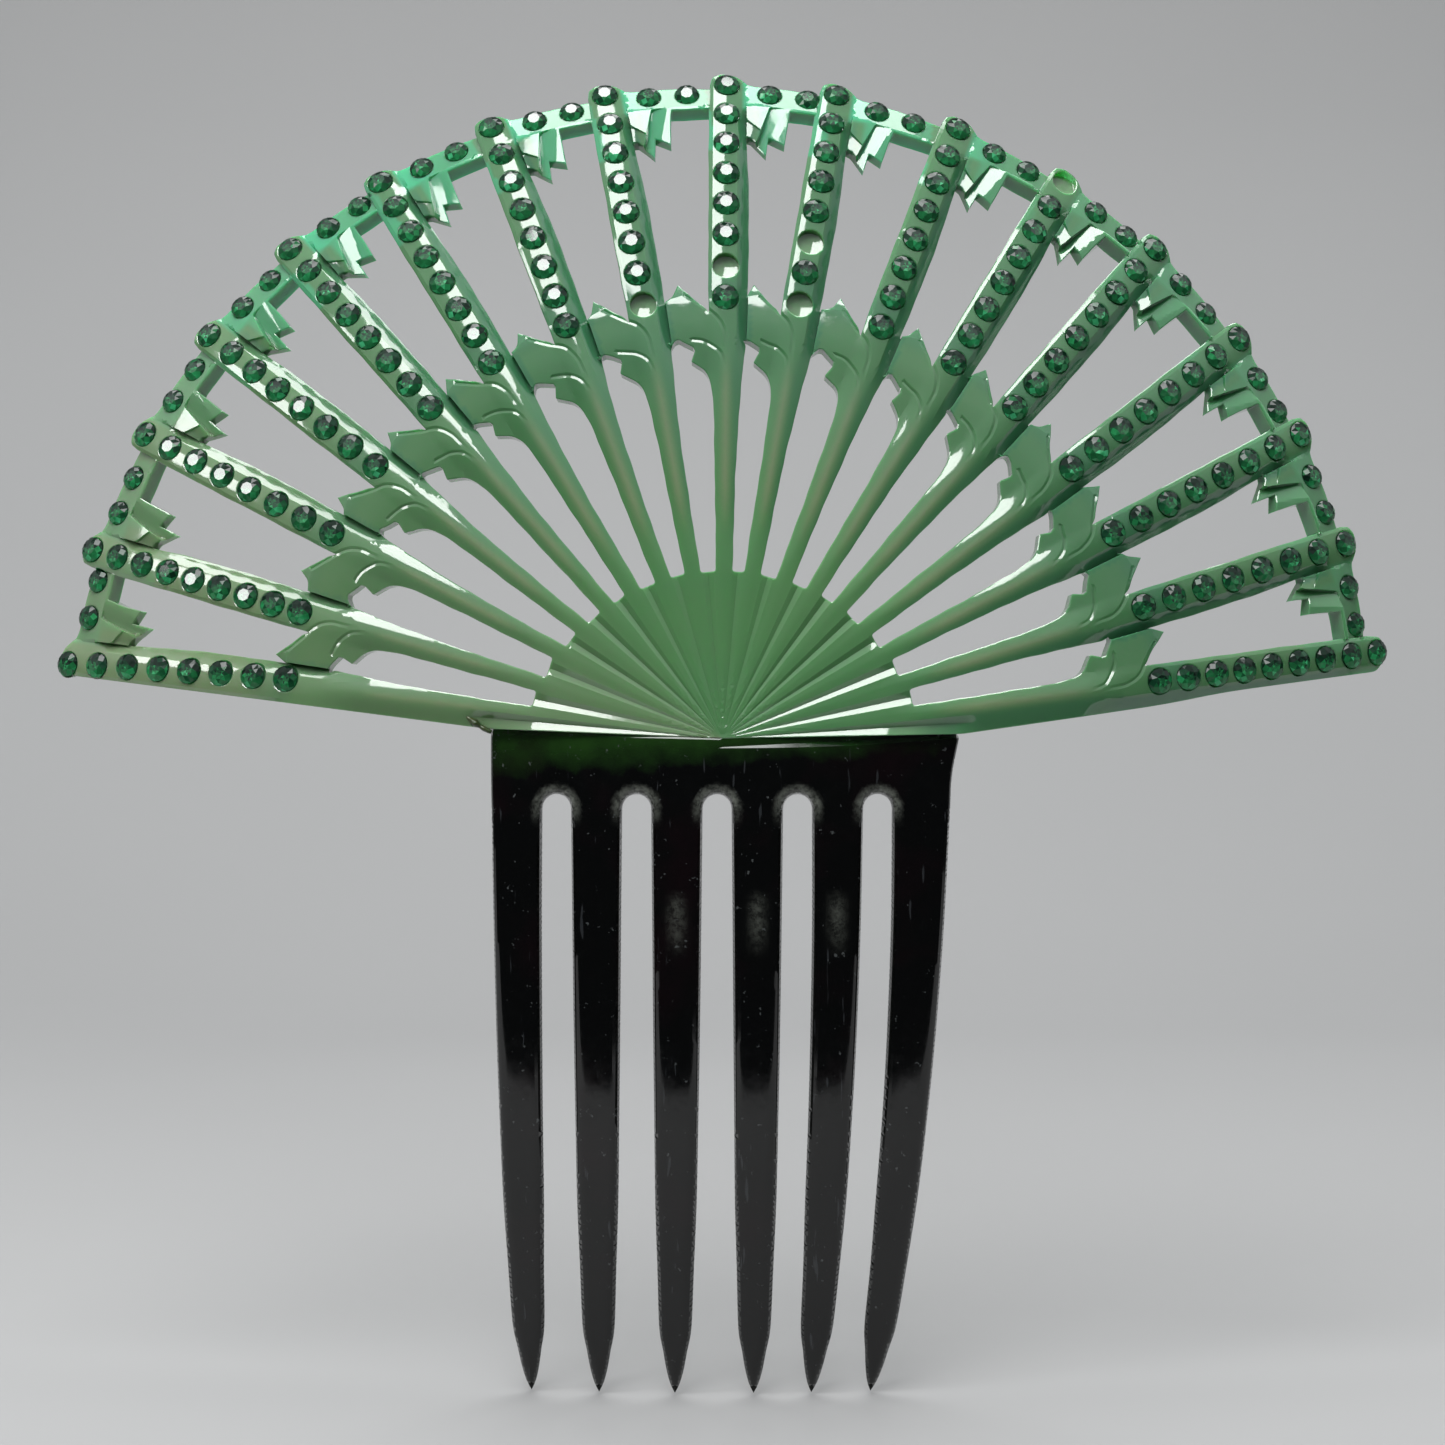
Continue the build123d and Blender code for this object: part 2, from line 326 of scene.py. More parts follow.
def upper_opening(bay, rng):
    """The opening between the leaf and the rim, with the tuft in its corner."""
    n = rng.uniform(-0.15, 0.15, 14)
    wall = [[a, s, 3.0] for a, s in right_edge(bay, n[0] * 0.4)[5:]]
    wall[0][2] = 0.15
    wall[-1][2] = 0.1
    tuft = [(66.9 + n[2], 3.85 + n[3], 0.0), (69.1 + n[4], 4.0, 0.0)]
    tuft += [(68.35 + n[5], 5.45 + n[6], 0.0), (70.4, 5.6 + n[6], 0.6), (rim_inner, 5.75, 0.1)]
    far_side = [(rim_inner - 0.05, -2.05, 0.15), (57.0, -1.98, 4.0), (47.6 + n[7], -1.9, 0.12)]
    leaf = [(48.2 + n[8], -2.75, 0.8), (49.1 + n[8], -4.1, 2.0)]
    leaf += [(51.0 + n[9], -6.05 + n[10] * 0.6, 0.0), (49.5 + n[9] * 0.5, -6.9, 0.5)]
    left = corners_on(bay, wall + [(68.7 + n[1], 2.75, 0.1)]) + corners_near(bay, tuft)
    return left + corners_on(bay + 1, far_side) + corners_near(bay + 1, leaf)


def fan_outline():
    """The outer edge: the lower edges and the stepped tops of the sticks."""
    last = stick_count - 1
    corners = [(0.0, 0.0, 0.0), (*shoulder_left, 0.5)]
    corners += corners_on(0, [(50.0, -1.95, 6.0), (75.6, -1.95, 0.9)])
    for stick in range(stick_count):
        top = stick_top(stick)
        if stick > 0:
            corners += corners_on(stick, [(rim_outer - 0.25, -1.97, 0.12)])
        corners += corners_on(stick, [(top - 0.45, -1.75, 0.25), (top, -0.9, 0.6), (top - 0.1, 1.0, 0.8)])
        if stick < last:
            corners += corners_on(stick, [(rim_outer, 2.6, 1.2)])
            corners += corners_near(stick, [(rim_outer, stick_pitch * 0.55, 6.0)])
    corners += corners_on(last, [(76.0, 2.2, 0.9), (57.0, 2.2, 6.0), (50.0, 2.7, 6.0)])
    return corners + [(*shoulder_right, 0.5)]


# ---- the seats of the stones -------------------------------------------------
def seat(stick, radius, offset, size, filled):
    """Where a seat is: its stick, radius and angle, its size, and if it holds a stone."""
    return {
        "stick": stick,
        "radius": radius,
        "angle": stick_angle(stick) + offset,
        "offset": offset,
        "size": size,
        "filled": filled,
    }


def stick_seats(stick):
    count = 9 if stick in (1, stick_count - 1) else 8
    outermost = stone_row_outer + 2 * long_sticks.get(stick, 0.0)
    seats = []
    for place in range(count):
        inward = place / (count - 1)
        radius = outermost + (stone_row_inner - outermost) * inward
        offset = first_row_lean * (inward - 0.4) if stick == 0 else 0.0
        filled = (stick, place) not in empty_seats
        seats.append(seat(stick, radius, offset, stick_stone_radius, filled))
    return seats


def rim_seats(bay):
    return [seat(bay, rim_stone_line, angle, rim_stone_radius, True) for angle in rim_stone_angles]


def seat_axes(s):
    """A seat's middle, and its clockwise, radial and outward directions."""
    a = math.radians(s["angle"])
    out = max(s["radius"] - flat_radius, 0.0)
    rise = out / bend_radius
    front = math.sqrt(1 - rise**2)
    clockwise = Vector((math.cos(a), 0, -math.sin(a)))
    outward = Vector((rise * math.sin(a), -front, rise * math.cos(a)))
    tilt = math.radians(pleat_tilt)
    sink = s["radius"] * math.sin(math.radians(s["offset"])) * math.sin(tilt)
    x, z = on_ray(s["radius"], s["angle"])
    middle = Vector((x, bend_radius * (1 - front), z + focus_height)) - outward * sink
    across = clockwise * math.cos(tilt) - outward * math.sin(tilt)
    normal = outward * math.cos(tilt) + clockwise * math.sin(tilt)
    return middle, across, normal.cross(across), normal


def seat_loop(s, clearance, sides=22):
    """The seat's round edge as it shows from the front, kept inside the rim."""
    radius = s["size"] + clearance
    rise = max(s["radius"] - flat_radius, 0.0) / bend_radius
    squeeze = math.sqrt(1 - rise**2)
    limit = (stick_top(s["stick"]) if s["offset"] < 2 else rim_outer) - 2.2 * edge_width
    a = math.radians(s["angle"])
    loop = []
    for k in range(sides):
        t = 2 * math.pi * k / sides
        along = s["radius"] + radius * squeeze * math.cos(t)
        across = radius * math.sin(t)
        place = np.array([math.sin(a), math.cos(a)]) * along
        place += np.array([math.cos(a), -math.sin(a)]) * across
        reach = np.linalg.norm(place)
        loop.append(place * min(1.0, limit / reach))
    return np.array(loop)


# ---- the carved relief ---------------------------------------------------------
def carve_cuts(bay, rng):
    """The V-shaped cuts of one bay: (line, depth, half of its width)."""
    n = rng.uniform(-0.15, 0.15, 12)
    # From under the leaf's point one curve runs down into the middle of the stem
    joint = [(49.5, -4.6), (48.1 + n[0], -2.6), (46.9, -0.95)]
    joint += [(45.4 + n[1], -0.15), (44.0, 0.0), (42.2, 0.1)]
    # The small leaf below grows out of the stem in the same way
    lower = [(44.4, -3.7), (44.2 + n[2], -2.6), (43.8, -1.6)]
    lower += [(42.8, -0.5 + n[3] * 0.5), (41.0, -0.05)]
    cuts = []
    for line, half in ((joint, 0.3), (lower, 0.28)):
        cuts.append(([on_stick(bay + 1, a, s) for a, s in line], cut_deepest, half))
    return cuts


def cut_depth(places, line, depth, half):
    """How deep one cut is at each place: it grows shallow towards its end."""
    points = curve_through(line, cut_spacing)
    steps = np.diff(points, axis=0)
    lengths = np.linalg.norm(steps, axis=1)
    runs = np.concatenate([[0], np.cumsum(lengths)])
    nearest = np.full(len(places), 1e9)
    share = np.zeros(len(places))
    for start, step, length, run in zip(points, steps, lengths, runs):
        d = places - start
        t = np.clip(d @ step / length**2, 0, 1)
        gap = d - t[:, None] * step
        distance = np.hypot(gap[:, 0], gap[:, 1])
        nearer = distance < nearest
        nearest[nearer] = distance[nearer]
        share[nearer] = ((run + t * length) / runs[-1])[nearer]
    slope = np.clip(1 - nearest / half, 0, 1)
    return np.where((share > 0.0) & (share < 1.0), depth * (1 - share**3) * slope, 0.0)


def carved_face(u, s):
    """Height of a stick and its stem, and of the leaf that runs on to its left."""
    beyond = np.maximum(pleat_line - s, 0)
    s = np.clip(s, pleat_line, 3.0)
    # Above the leaves: left chamfer, slightly round face, right facet
    face = -math.tan(math.radians(pleat_tilt)) * (s - chamfer_start) - crown * (s + 0.3) ** 2
    face -= 0.3 * np.maximum(chamfer_start - s, 0) * smooth(48.6, 50.2, u)
    face -= facet_fall * np.maximum(s - facet_start, 0) * (1 - smooth(70.8, 72.8, u))
    # Below them a soft ridge
    stem = 0.3 - np.sqrt(0.35**2 + (0.42 * (s - 0.1)) ** 2)
    return stem + (face - stem) * smooth(39.5, 46.5, u) - 0.055 * beyond


def between_leaflets(radius):
    """The tuft's inner line: degrees past its stick, at each radius."""
    return 3.3 + 0.24 * (radius - 69.7)


def leaflet_top(offset):
    """The radius at which the lower leaflet begins, at degrees past its stick."""
    return 70.5 - 0.9 * (offset - 2.1)


def point_bevel(stick):
    """The two ends of the line under the bright bevel at a leaf's point."""
    return np.array(near_stick(stick, 49.9, -4.5)), np.array(near_stick(stick, 49.2, -8.2))


def relief(places, cuts):
    """Height of the carved face above the bent sheet's front, at each place."""
    count = len(places)
    angles = np.degrees(np.arctan2(places[:, 0], places[:, 1]))
    radius = np.hypot(places[:, 0], places[:, 1])
    owner = np.full(count, -1)
    across = np.zeros((stick_count, count))
    along = np.zeros((stick_count, count))
    for stick in range(stick_count):
        along[stick], across[stick] = along_across(places, stick)
        line = -np.minimum(-pleat_line, np.maximum(along[stick], 0) * 0.039)
        line -= 0.3 * ((radius > 52.5) & (radius < 72.0))
        owner += across[stick] >= line
    nearest = np.argmin(np.abs(across) + 1000.0 * (along < 0), axis=0)
    owner = np.where(radius < stem_end, nearest, np.clip(owner, 0, stick_count - 1))
    rows = np.arange(count)
    u, s = along[owner, rows], across[owner, rows]
    after = np.minimum(owner + 1, stick_count - 1)
    u_next, s_next = along[after, rows], across[after, rows]

    in_band = (radius > leaf_band[0]) & (radius < leaf_band[1])
    in_leaf = (s > right_limit(u)) & (radius < 56) & (in_band | (s_next > -4.2) & (radius > 30))
    in_leaf &= owner < stick_count - 1
    # The rim and the tuft slope down to the next stick
    rim = -0.18 - 0.03 * np.maximum(s - 2.4, 0) - 0.17 * np.maximum(radius - tuft_edge, 0)
    # Under it the tuft: a bright plain facet, and two leaflets that turn away
    off = angles - np.array([stick_angle(k) for k in range(stick_count)])[owner]
    upper_leaf = off - between_leaflets(radius)
    lower_leaf = off - 2.1
    steep = 0.28 + 0.2 * smooth(20.0, 34.0, angles)
    upper_face = -0.6 + steep * np.clip(upper_leaf, 0, 1.5) - 0.2 * (tuft_edge - radius)
    lower_face = -0.5 + steep * np.clip(lower_leaf, 0, 1.6) - 0.2 * (70.5 - radius)
    rim = np.where((radius < tuft_edge) & (upper_leaf > 0), upper_face, rim)
    rim = np.where((radius < leaflet_top(off)) & (upper_leaf <= 0), lower_face, rim)
    in_rim = (s > right_limit(u)) & (radius >= 66)
    height = np.where(in_leaf, carved_face(u_next, s_next), carved_face(u, s))
    height = np.where(in_rim, rim, height)

    # The hub: flat-topped ribs with V-grooves between them
    nearest = np.min([np.abs(angles - groove_angle(k)) for k in range(stick_count - 1)], axis=0)
    groove = np.clip(1 - nearest / groove_spread, 0, 1)
    rib = -0.05 * np.clip(np.abs(off) / 2.6, 0, 1) ** 2
    deepness = groove_depth * (0.5 + 0.5 * smooth(15.0, 42.0, np.abs(angles)))
    hub_face = rib - groove * deepness * np.clip(radius / hub_radius, 0, 1.4)
    blend = smooth(hub_radius - 0.5, hub_radius + 6.0, radius)
    height = hub_face * (1 - blend) + height * blend

    # The last groove at each end runs just inside the fan's lower edge
    for side in (-1, 1):
        below = angles * side - end_groove_angle[side]
        width = np.where(below > 0, end_groove_below, end_groove_above)
        depth = np.clip(1 - np.abs(below) / width, 0, 1) * end_groove_depth
        height -= depth * np.clip(radius / 24.0, 0, 1) * (1 - smooth(25.5, 29.0, radius))

    # The bright bevel at the leaf's point: a facet that tips up and outward
    for stick in range(1, stick_count):
        start, end = point_bevel(stick)
        along_line = (end - start) / np.linalg.norm(end - start)
        above = (places - start) @ np.array([along_line[1], -along_line[0]])
        beside = (places - start) @ along_line
        near = (above > 0) & (above < 3.0) & (beside > -0.6) & (beside < 3.6) & in_leaf & (after == stick)
        height -= np.where(near, 0.28 * above, 0.0)

    total = np.zeros(count)
    for line, depth, half in cuts:
        middle = np.mean(np.array(line), axis=0)
        near = np.hypot(*(places - middle).T) < 6.0
        if near.any():
            total[near] = np.maximum(total[near], cut_depth(places[near], line, depth, half))
    return height - total


def tones(places):
    """Painted light and shade of the celluloid, as four shares: teal painted shade, a yellowish tone, painted
    glow, and a share that painted shade lowers outward.
    """
    angles = np.degrees(np.arctan2(places[:, 0], places[:, 1]))
    radius = np.hypot(places[:, 0], places[:, 1])
    result = np.zeros((len(places), 4))
    result[:, 3] = 1.0
    glow_share = painted_glow_share(angles)
    for stick in range(stick_count):
        u, s = along_across(places, stick)
        own = (s > -2.1) & (s < 2.9) & (u > 10)
        # Teal painted shade on the facet that turns down to the right, and on a stem's right side
        teal_shade = smooth(facet_start - 0.05, facet_start + 0.25, s) * smooth(40, 46, u)
        teal_shade *= 1 - smooth(70.5, 73, u)
        teal_shade = np.maximum(teal_shade, smooth(0.3, 1.3, s) * smooth(20, 26, u) * (1 - smooth(40, 46, u)) * 0.6)
        yellow = np.exp(-(((s - 0.1) / 0.5) ** 2)) * smooth(22, 29, u) * (1 - smooth(38, 44, u))
        result[:, 0] = np.where(own, np.maximum(result[:, 0], teal_shade), result[:, 0])
        result[:, 1] = np.where(own, np.maximum(result[:, 1], yellow), result[:, 1])
        beside = (s > 2.0) & (s < 11.5) & (radius > 67.0)
        # Painted glow along the rim's lower edge and in the tufts, strongest where light would come through
        # from behind
        painted_glow = smooth(71.9, 72.6, radius) * (0.62 - 0.3 * smooth(3.2, 7.0, s))
        painted_glow = np.maximum(painted_glow, 0.4 * smooth(3.4, 4.2, s) * (radius < 72.45))
        painted_glow = painted_glow * glow_share
        result[:, 2] = np.where(beside, np.maximum(result[:, 2], painted_glow), result[:, 2])
    # Teal painted shade in a band at the radii of the leaves' upper edges
    leaf_edge_shade = smooth(47.6, 49.6, radius) * (1 - smooth(52.0, 53.0, radius))
    result[:, 0] = np.maximum(result[:, 0], leaf_edge_shade * 0.7)
    outward = 0.5 + 0.45 * smooth(48.0, 56.0, radius)
    result[:, 1] = np.maximum(result[:, 1], outward * smooth(25, 85, -angles))
    # The fourth share: painted shade, darker outward and less so on the left side
    result[:, 3] = 1 - 0.4 * smooth(20.0, 44.0, radius) * (0.45 + 0.55 * smooth(-70, -25, angles))
    return result


def painted_glow_share(angles):
    """How strong the painted glow along the top of the fan is: most where light would come through from
    behind.
    """
    return 0.22 + 0.78 * smooth(-62, -40, angles) * (1 - smooth(14, 34, angles))


def right_limit(u):
    """Where a stick's right edge lies, at each distance along it."""
    table = [(18.0, 0.95), (33.5, 1.4), (43.9, 2.3), (49.1, 2.45), (57.0, 2.6), (68.9, 2.2)]
    return np.interp(u, [a for a, s in table], [s for a, s in table])


# ---- meshes -----------------------------------------------------------------------
def inside(loop, places):
    """Which places lie inside a closed line."""
    x, z = places[:, 0], places[:, 1]
    result = np.zeros(len(places), bool)
    low, high = loop.min(0), loop.max(0)
    near = (x >= low[0]) & (x <= high[0]) & (z >= low[1]) & (z <= high[1])
    xs, zs = x[near], z[near]
    hit = np.zeros(len(xs), bool)
    for (ax, az), (bx, bz) in zip(loop, np.roll(loop, -1, axis=0)):
        if az == bz:
            continue
        crosses = (az > zs) != (bz > zs)
        hit ^= crosses & (xs < (bx - ax) * (zs - az) / (bz - az) + ax)
    result[near] = hit
    return result


def within(loops, places):
    """Which places lie inside the first line and outside all the others."""
    result = inside(loops[0], places)
    for loop in loops[1:]:
        result &= ~inside(loop, places)
    return result


def new_object(name, vertices, faces, material_of_face=None, smooth_faces=True):
    """An object of these vertices (mm) and faces, in the CAD frame."""
    mesh = bpy.data.meshes.new(name)
    mesh.from_pydata([tuple(v) for v in np.asarray(vertices) * MM], [], [tuple(f) for f in faces])
    mesh.polygons.foreach_set("use_smooth", [smooth_faces] * len(mesh.polygons))
    if material_of_face is not None:
        mesh.polygons.foreach_set("material_index", material_of_face)
    mesh.update()
    piece = bpy.data.objects.new(name, mesh)
    bpy.context.scene.collection.objects.link(piece)
    return piece


def paint(piece, name, domain, colours):
    """Keeps a colour on the mesh for each vertex or each corner of a face."""
    attribute = piece.data.color_attributes.new(name, "FLOAT_COLOR", domain)
    attribute.data.foreach_set("color", np.asarray(colours, np.float32).ravel())


def tree_of(places):
    tree = kdtree.KDTree(len(places))
    for k, place in enumerate(places):
        tree.insert((*place, 0), k)
    tree.balance()
    return tree


def triangulated(loops, rows, fill, keep, fill_gap=0.17, same_place=1e-6):
    """Triangles over places: loops and rows hold edges, fill is loose places."""
    places = []
    edges = []
    for loop in loops:
        start, size = len(places), len(loop)
        places.extend(loop)
        edges += [(start + k, start + (k + 1) % size) for k in range(size)]
    fixed = len(places)
    tree = tree_of(places)
    for row in rows:
        previous = None
        for place in row:
            if tree.find((*place, 0))[2] <= row_gap:
                previous = None
                continue
            places.append(place)
            if previous is not None:
                edges.append((previous, len(places) - 1))
            previous = len(places) - 1
    tree = tree_of(places)
    places += [place for place in fill if tree.find((*place, 0))[2] >= fill_gap]
    coordinates = [Vector(p) for p in places]
    points, _, triangles, origins, _, _ = delaunay_2d_cdt(coordinates, edges, [], 0, same_place)
    points = np.array([tuple(p) for p in points])
    triangles = np.array(list(triangles))
    triangles = triangles[keep(points[triangles].mean(axis=1))]
    index_of = {source: made for made, sources in enumerate(origins) for source in sources}
    return points, triangles, np.array([index_of[k] for k in range(fixed)])


def hex_grid(low, high, spacing):
    rows = np.arange(low[1], high[1], spacing * 0.866)
    columns = np.arange(low[0], high[0], spacing)
    x, z = np.meshgrid(columns, rows)
    x = x + (np.arange(len(rows)) % 2)[:, None] * spacing / 2
    return np.stack([x.ravel(), z.ravel()], 1)


def stick_row(stick, low, high, across, step=0.5):
    return np.array([on_stick(stick, along, across) for along in np.arange(low, high, step)])


def ray_row(angle, low, high, step):
    return np.array([on_ray(radius, angle) for radius in np.arange(low, high, step)])


def crease_rows(cuts):
    """Rows of places along the creases of the face, so that each crease is an edge."""
    rows = []
    for stick in range(stick_count):
        for across, low, high in ((facet_start, 45.0, 71.5), (chamfer_start, 48.0, 75.5), (0.1, 24.0, 40.0)):
            rows.append(stick_row(stick, low, high, across))
        rows += [stick_row(stick, 51.0, 75.5, across) for across in face_rows]
        if stick > 0:
            rows += [stick_row(stick, 72.3, 75.0, pleat_line + shift, 0.35) for shift in (-0.06, 0.02)]
    for bay in range(stick_count - 1):
        for offset in (-groove_spread, 0.0, groove_spread):
            rows.append(ray_row(groove_angle(bay) + offset, 1.5, 23.0, 0.45))
    for side, angle in end_groove_angle.items():
        for offset in (-end_groove_above, 0.0, end_groove_below * 0.93):
            rows.append(ray_row(side * (angle + offset), 2.5, 28.0, 0.4))
    for stick in range(1, stick_count):
        start, end = point_bevel(stick)
        rows.append(start + (end - start) * np.linspace(-0.1, 1.0, 12)[:, None])
    # Both sides of each step of the tufts
    for bay in range(stick_count - 1):
        for shift in (-0.08, 0.02):
            steps = np.arange(68.6, tuft_edge - 0.05, 0.3)
            rows.append(np.array([near_stick(bay, r, between_leaflets(r) + shift) for r in steps]))
        for shift in (-0.09, 0.02):
            steps = np.arange(2.0, 3.5, 0.18)
            rows.append(np.array([near_stick(bay, leaflet_top(a) + shift, a) for a in steps]))
        for shift in (-0.08, 0.02):
            steps = np.arange(2.4, 8.4, 0.3)
            rows.append(np.array([near_stick(bay, tuft_edge + shift, a) for a in steps]))
    for line, _, half in cuts:
        points = curve_through(line, cut_spacing)
        rows += [points + left_of(points) * shift for shift in (-half, 0.0, half)]
    # Both sides of the step down from a stick to its leaf and its tuft
    for bay in range(stick_count - 1):
        for low, high in ((43.5, 50.0), (68.4, 72.8)):
            for shift in (0.0, 0.09):
                steps = np.arange(low, high, 0.35)
                rows.append(np.array([on_stick(bay, a, right_limit(a) + shift - 0.01) for a in steps]))
    return rows


class Skin:
    """A mesh gathered ring by ring: vertices with their tones, and faces."""

    def __init__(self):
        self.vertices, self.shades, self.faces = [], [], []
        self.count = 0

    def add(self, vertices, shades):
        """Adds vertices and gives back their numbers."""
        self.vertices.append(vertices)
        self.shades.append(shades)
        self.count += len(vertices)
        return list(range(self.count - len(vertices), self.count))

    def bands(self, rings):
        """A band of faces between each closed ring and the next."""
        for upper, lower in zip(rings, rings[1:]):
            for k in range(len(upper)):
                after = (k + 1) % len(upper)
                self.faces.append((upper[after], upper[k], lower[k], lower[after]))


def sawn_rings(skin, loop, heights):
    """The worn edge of a sawn line, and the foot of its wall, with painted glow near the rim."""
    reach = np.hypot(loop[:, 0], loop[:, 1])
    glow_share = painted_glow_share(np.degrees(np.arctan2(loop[:, 0], loop[:, 1])))
    foot = np.full(len(loop), edge_width - fan_thickness)
    rings = []
    for ring_height, depth in ((heights - 0.7 * edge_width, 0.35), (foot, 1.0)):
        shade = tones(loop)
        # Painted glow on the edge and the wall near the rim
        shade[:, 2] = np.maximum(shade[:, 2], smooth(69.5, 71.5, reach) * depth * glow_share)
        rings.append(skin.add(bend(loop, ring_height), shade))
    return rings


def pit_rings(skin, loop, heights, stone):
    """The wall and the floor of a drilled seat, which is more of a cup where it is empty."""
    size = len(loop)
    middle = loop.mean(axis=0)
    floor = heights.mean() - seat_depth
    small = middle + (loop - middle) * (0.94 if stone else 0.66)
    # A seat's painted tones: teal painted shade and painted glow where a stone sits; a pale yellowish painted
    # light and painted glow in an empty cup, so that it shows light
    shade = (0.3, 0.1, 0.12, 1.0) if stone else (0.0, 0.55, 0.1, 1.0)
    rings = []
    low = np.full(size, floor)
    for line, ring_height in ((loop, heights - 0.5 * edge_width), (loop, low + 0.1), (small, low)):
        rings.append(skin.add(bend(line, ring_height), np.tile(shade, (size, 1))))
    point = skin.add(bend(middle[None, :], np.array([floor - 0.15])), np.array([shade]))[0]
    skin.faces += [(rings[-1][(k + 1) % size], rings[-1][k], point) for k in range(size)]
    return rings


def make_fan():
    rng = np.random.default_rng(17)
    outer = wound(rounded_loop(fan_outline()), 1)
    holes = []
    cuts = []
    for bay in range(stick_count - 1):
        for opening in (lower_opening(bay, rng), upper_opening(bay, rng)):
            loop = wound(rounded_loop(opening), -1)
            holes.append(wander(loop, rng.uniform(0, 6)))
        cuts += carve_cuts(bay, rng)
    seats = [s for stick in range(stick_count) for s in stick_seats(stick)]
    seats += [s for bay in range(stick_count - 1) for s in rim_seats(bay)]
    pits = [wound(seat_loop(s, seat_clearance)[::-1], -1) for s in seats]
    edges = [outer] + holes + pits
    # The face starts a worn edge's width in from every cut
    tops = [loop + loop_normals(loop) * edge_width for loop in edges]
    sawn = tops[: 1 + len(holes)]
    rows = clipped(crease_rows(cuts), tops)
    fill = hex_grid((-80, -1), (80, 80), grid_spacing)
    reach = np.hypot(fill[:, 0], fill[:, 1])
    fill = fill[(reach < 78) & within(tops, fill)]
    for stick in range(stick_count):
        u, s = along_across(fill, stick)
        fill = fill[(u < 51.0) | (s < pleat_line) | (s > face_rows[-1] + 0.15)]
    points, triangles, where = triangulated(tops, rows, fill, lambda p: within(tops, p))
    height = relief(points, cuts)

    skin = Skin()
    skin.add(bend(points, height), tones(points))
    skin.faces += [tuple(t) for t in triangles]
    fill = hex_grid((-80, 0.5), (80, 80), back_spacing)
    fill = fill[np.hypot(fill[:, 0], fill[:, 1]) < 77]
    flat_back, triangles, back_where = triangulated(sawn, [], fill, lambda p: within(sawn, p))
    back = skin.add(bend(flat_back, np.full(len(flat_back), -fan_thickness)), tones(flat_back))
    skin.faces += [(back[t[0]], back[t[2]], back[t[1]]) for t in triangles]

    start = 0
    for number, loop in enumerate(edges):
        own = slice(start, start + len(loop))
        start += len(loop)
        if number < len(sawn):
            rings = sawn_rings(skin, loop, height[where[own]])
            rings.append([back[k] for k in back_where[own]])
        else:
            rings = pit_rings(skin, loop, height[where[own]], seats[number - len(sawn)]["filled"])
        skin.bands([list(where[own])] + rings)
    piece = new_object("carved_fan", np.vstack(skin.vertices), skin.faces)
    paint(piece, "tones", "POINT", np.vstack(skin.shades))
    piece.data.set_sharp_from_angle(angle=math.radians(crease_angle))
    return piece


def clipped(rows, loops):
    """The stretches of the rows that lie on the face."""
    kept = within(loops, np.vstack(rows))
    pieces = []
    start = 0
    for row in rows:
        current = []
        for place, good in zip(row, kept[start : start + len(row)]):
            if good:
                current.append(place)
            elif current:
                pieces.append(np.array(current))
                current = []
        if current:
            pieces.append(np.array(current))
        start += len(row)
    return pieces


# ---- the stones --------------------------------------------------------------------
def chaton(radius):
    """A round foiled stone about its own axis: (vertices, faces, which part each is)."""
    top = girdle_height + crown_height
    vertices = [(0.0, 0.0, top)]

    def ring(count, share, height, turn):
        first = len(vertices)
        for k in range(count):
            t = 2 * math.pi * (k + turn) / count
            vertices.append((radius * share * math.cos(t), radius * share * math.sin(t), height))
        return list(range(first, first + count))

    heart = ring(8, 0.24, top, 0.0)
    table = ring(8, 0.5, top, 0.5)
    middle = ring(8, 0.81, girdle_height + 0.56 * crown_height, 0.0)
    girdle = ring(16, 1.0, girdle_height, 0.0)
    belt = ring(16, 1.0, 0.05, 0.0)
    back = ring(8, 0.26, -seat_depth + 0.12, 0.5)
    faces = []
    for k in range(8):
        after = (k + 1) % 8
        faces.append(("heart", (0, heart[k], heart[after])))
        faces.append(("table", (table[k - 1], table[k], heart[k])))
        faces.append(("table", (heart[k], table[k], heart[after])))
        faces.append(("star", (table[k - 1], middle[k], table[k])))
        faces.append(("kite", (table[k], middle[k], girdle[2 * k + 1], middle[after])))
        faces.append(("low", (middle[k], girdle[2 * k], girdle[2 * k + 1])))
        faces.append(("low", (middle[k], girdle[2 * k - 1], girdle[2 * k])))
    for k in range(16):
        after = (k + 1) % 16
        faces.append(("belt", (girdle[k], belt[k], belt[after], girdle[after])))
    for k in range(8):
        after = (k + 1) % 8
        left, mid, right = belt[2 * k], belt[2 * k + 1], belt[(2 * k + 2) % 16]
        faces.append(("foil", (left, back[k], mid)))
        faces.append(("foil", (mid, back[k], right)))
        faces.append(("foil", (right, back[k], back[after])))
    faces.append(("foil", tuple(reversed(back))))
    return vertices, faces


def facet_light(part, downward, rng):
    """The painted light of one facet, 0 to 1: how much green the foil sends back through it, lighter on the
    lower facets, with a painted flash on a few.
    """
    level, spread = {
        "heart": (0.36, 0.12),
        "table": (0.34, 0.16),
        "star": (0.26, 0.14),
        "kite": (0.27, 0.16),
        "low": (0.2, 0.12),
        "belt": (0.12, 0.05),
        "foil": (0.5, 0.1),
    }[part]
    # A painted flash on about one facet in ten
    painted_flash = 0.35 if rng.random() < 0.1 else 0.0
    return min(max(level + 0.55 * downward + rng.normal(0, spread) + painted_flash, 0.0), 1.0)


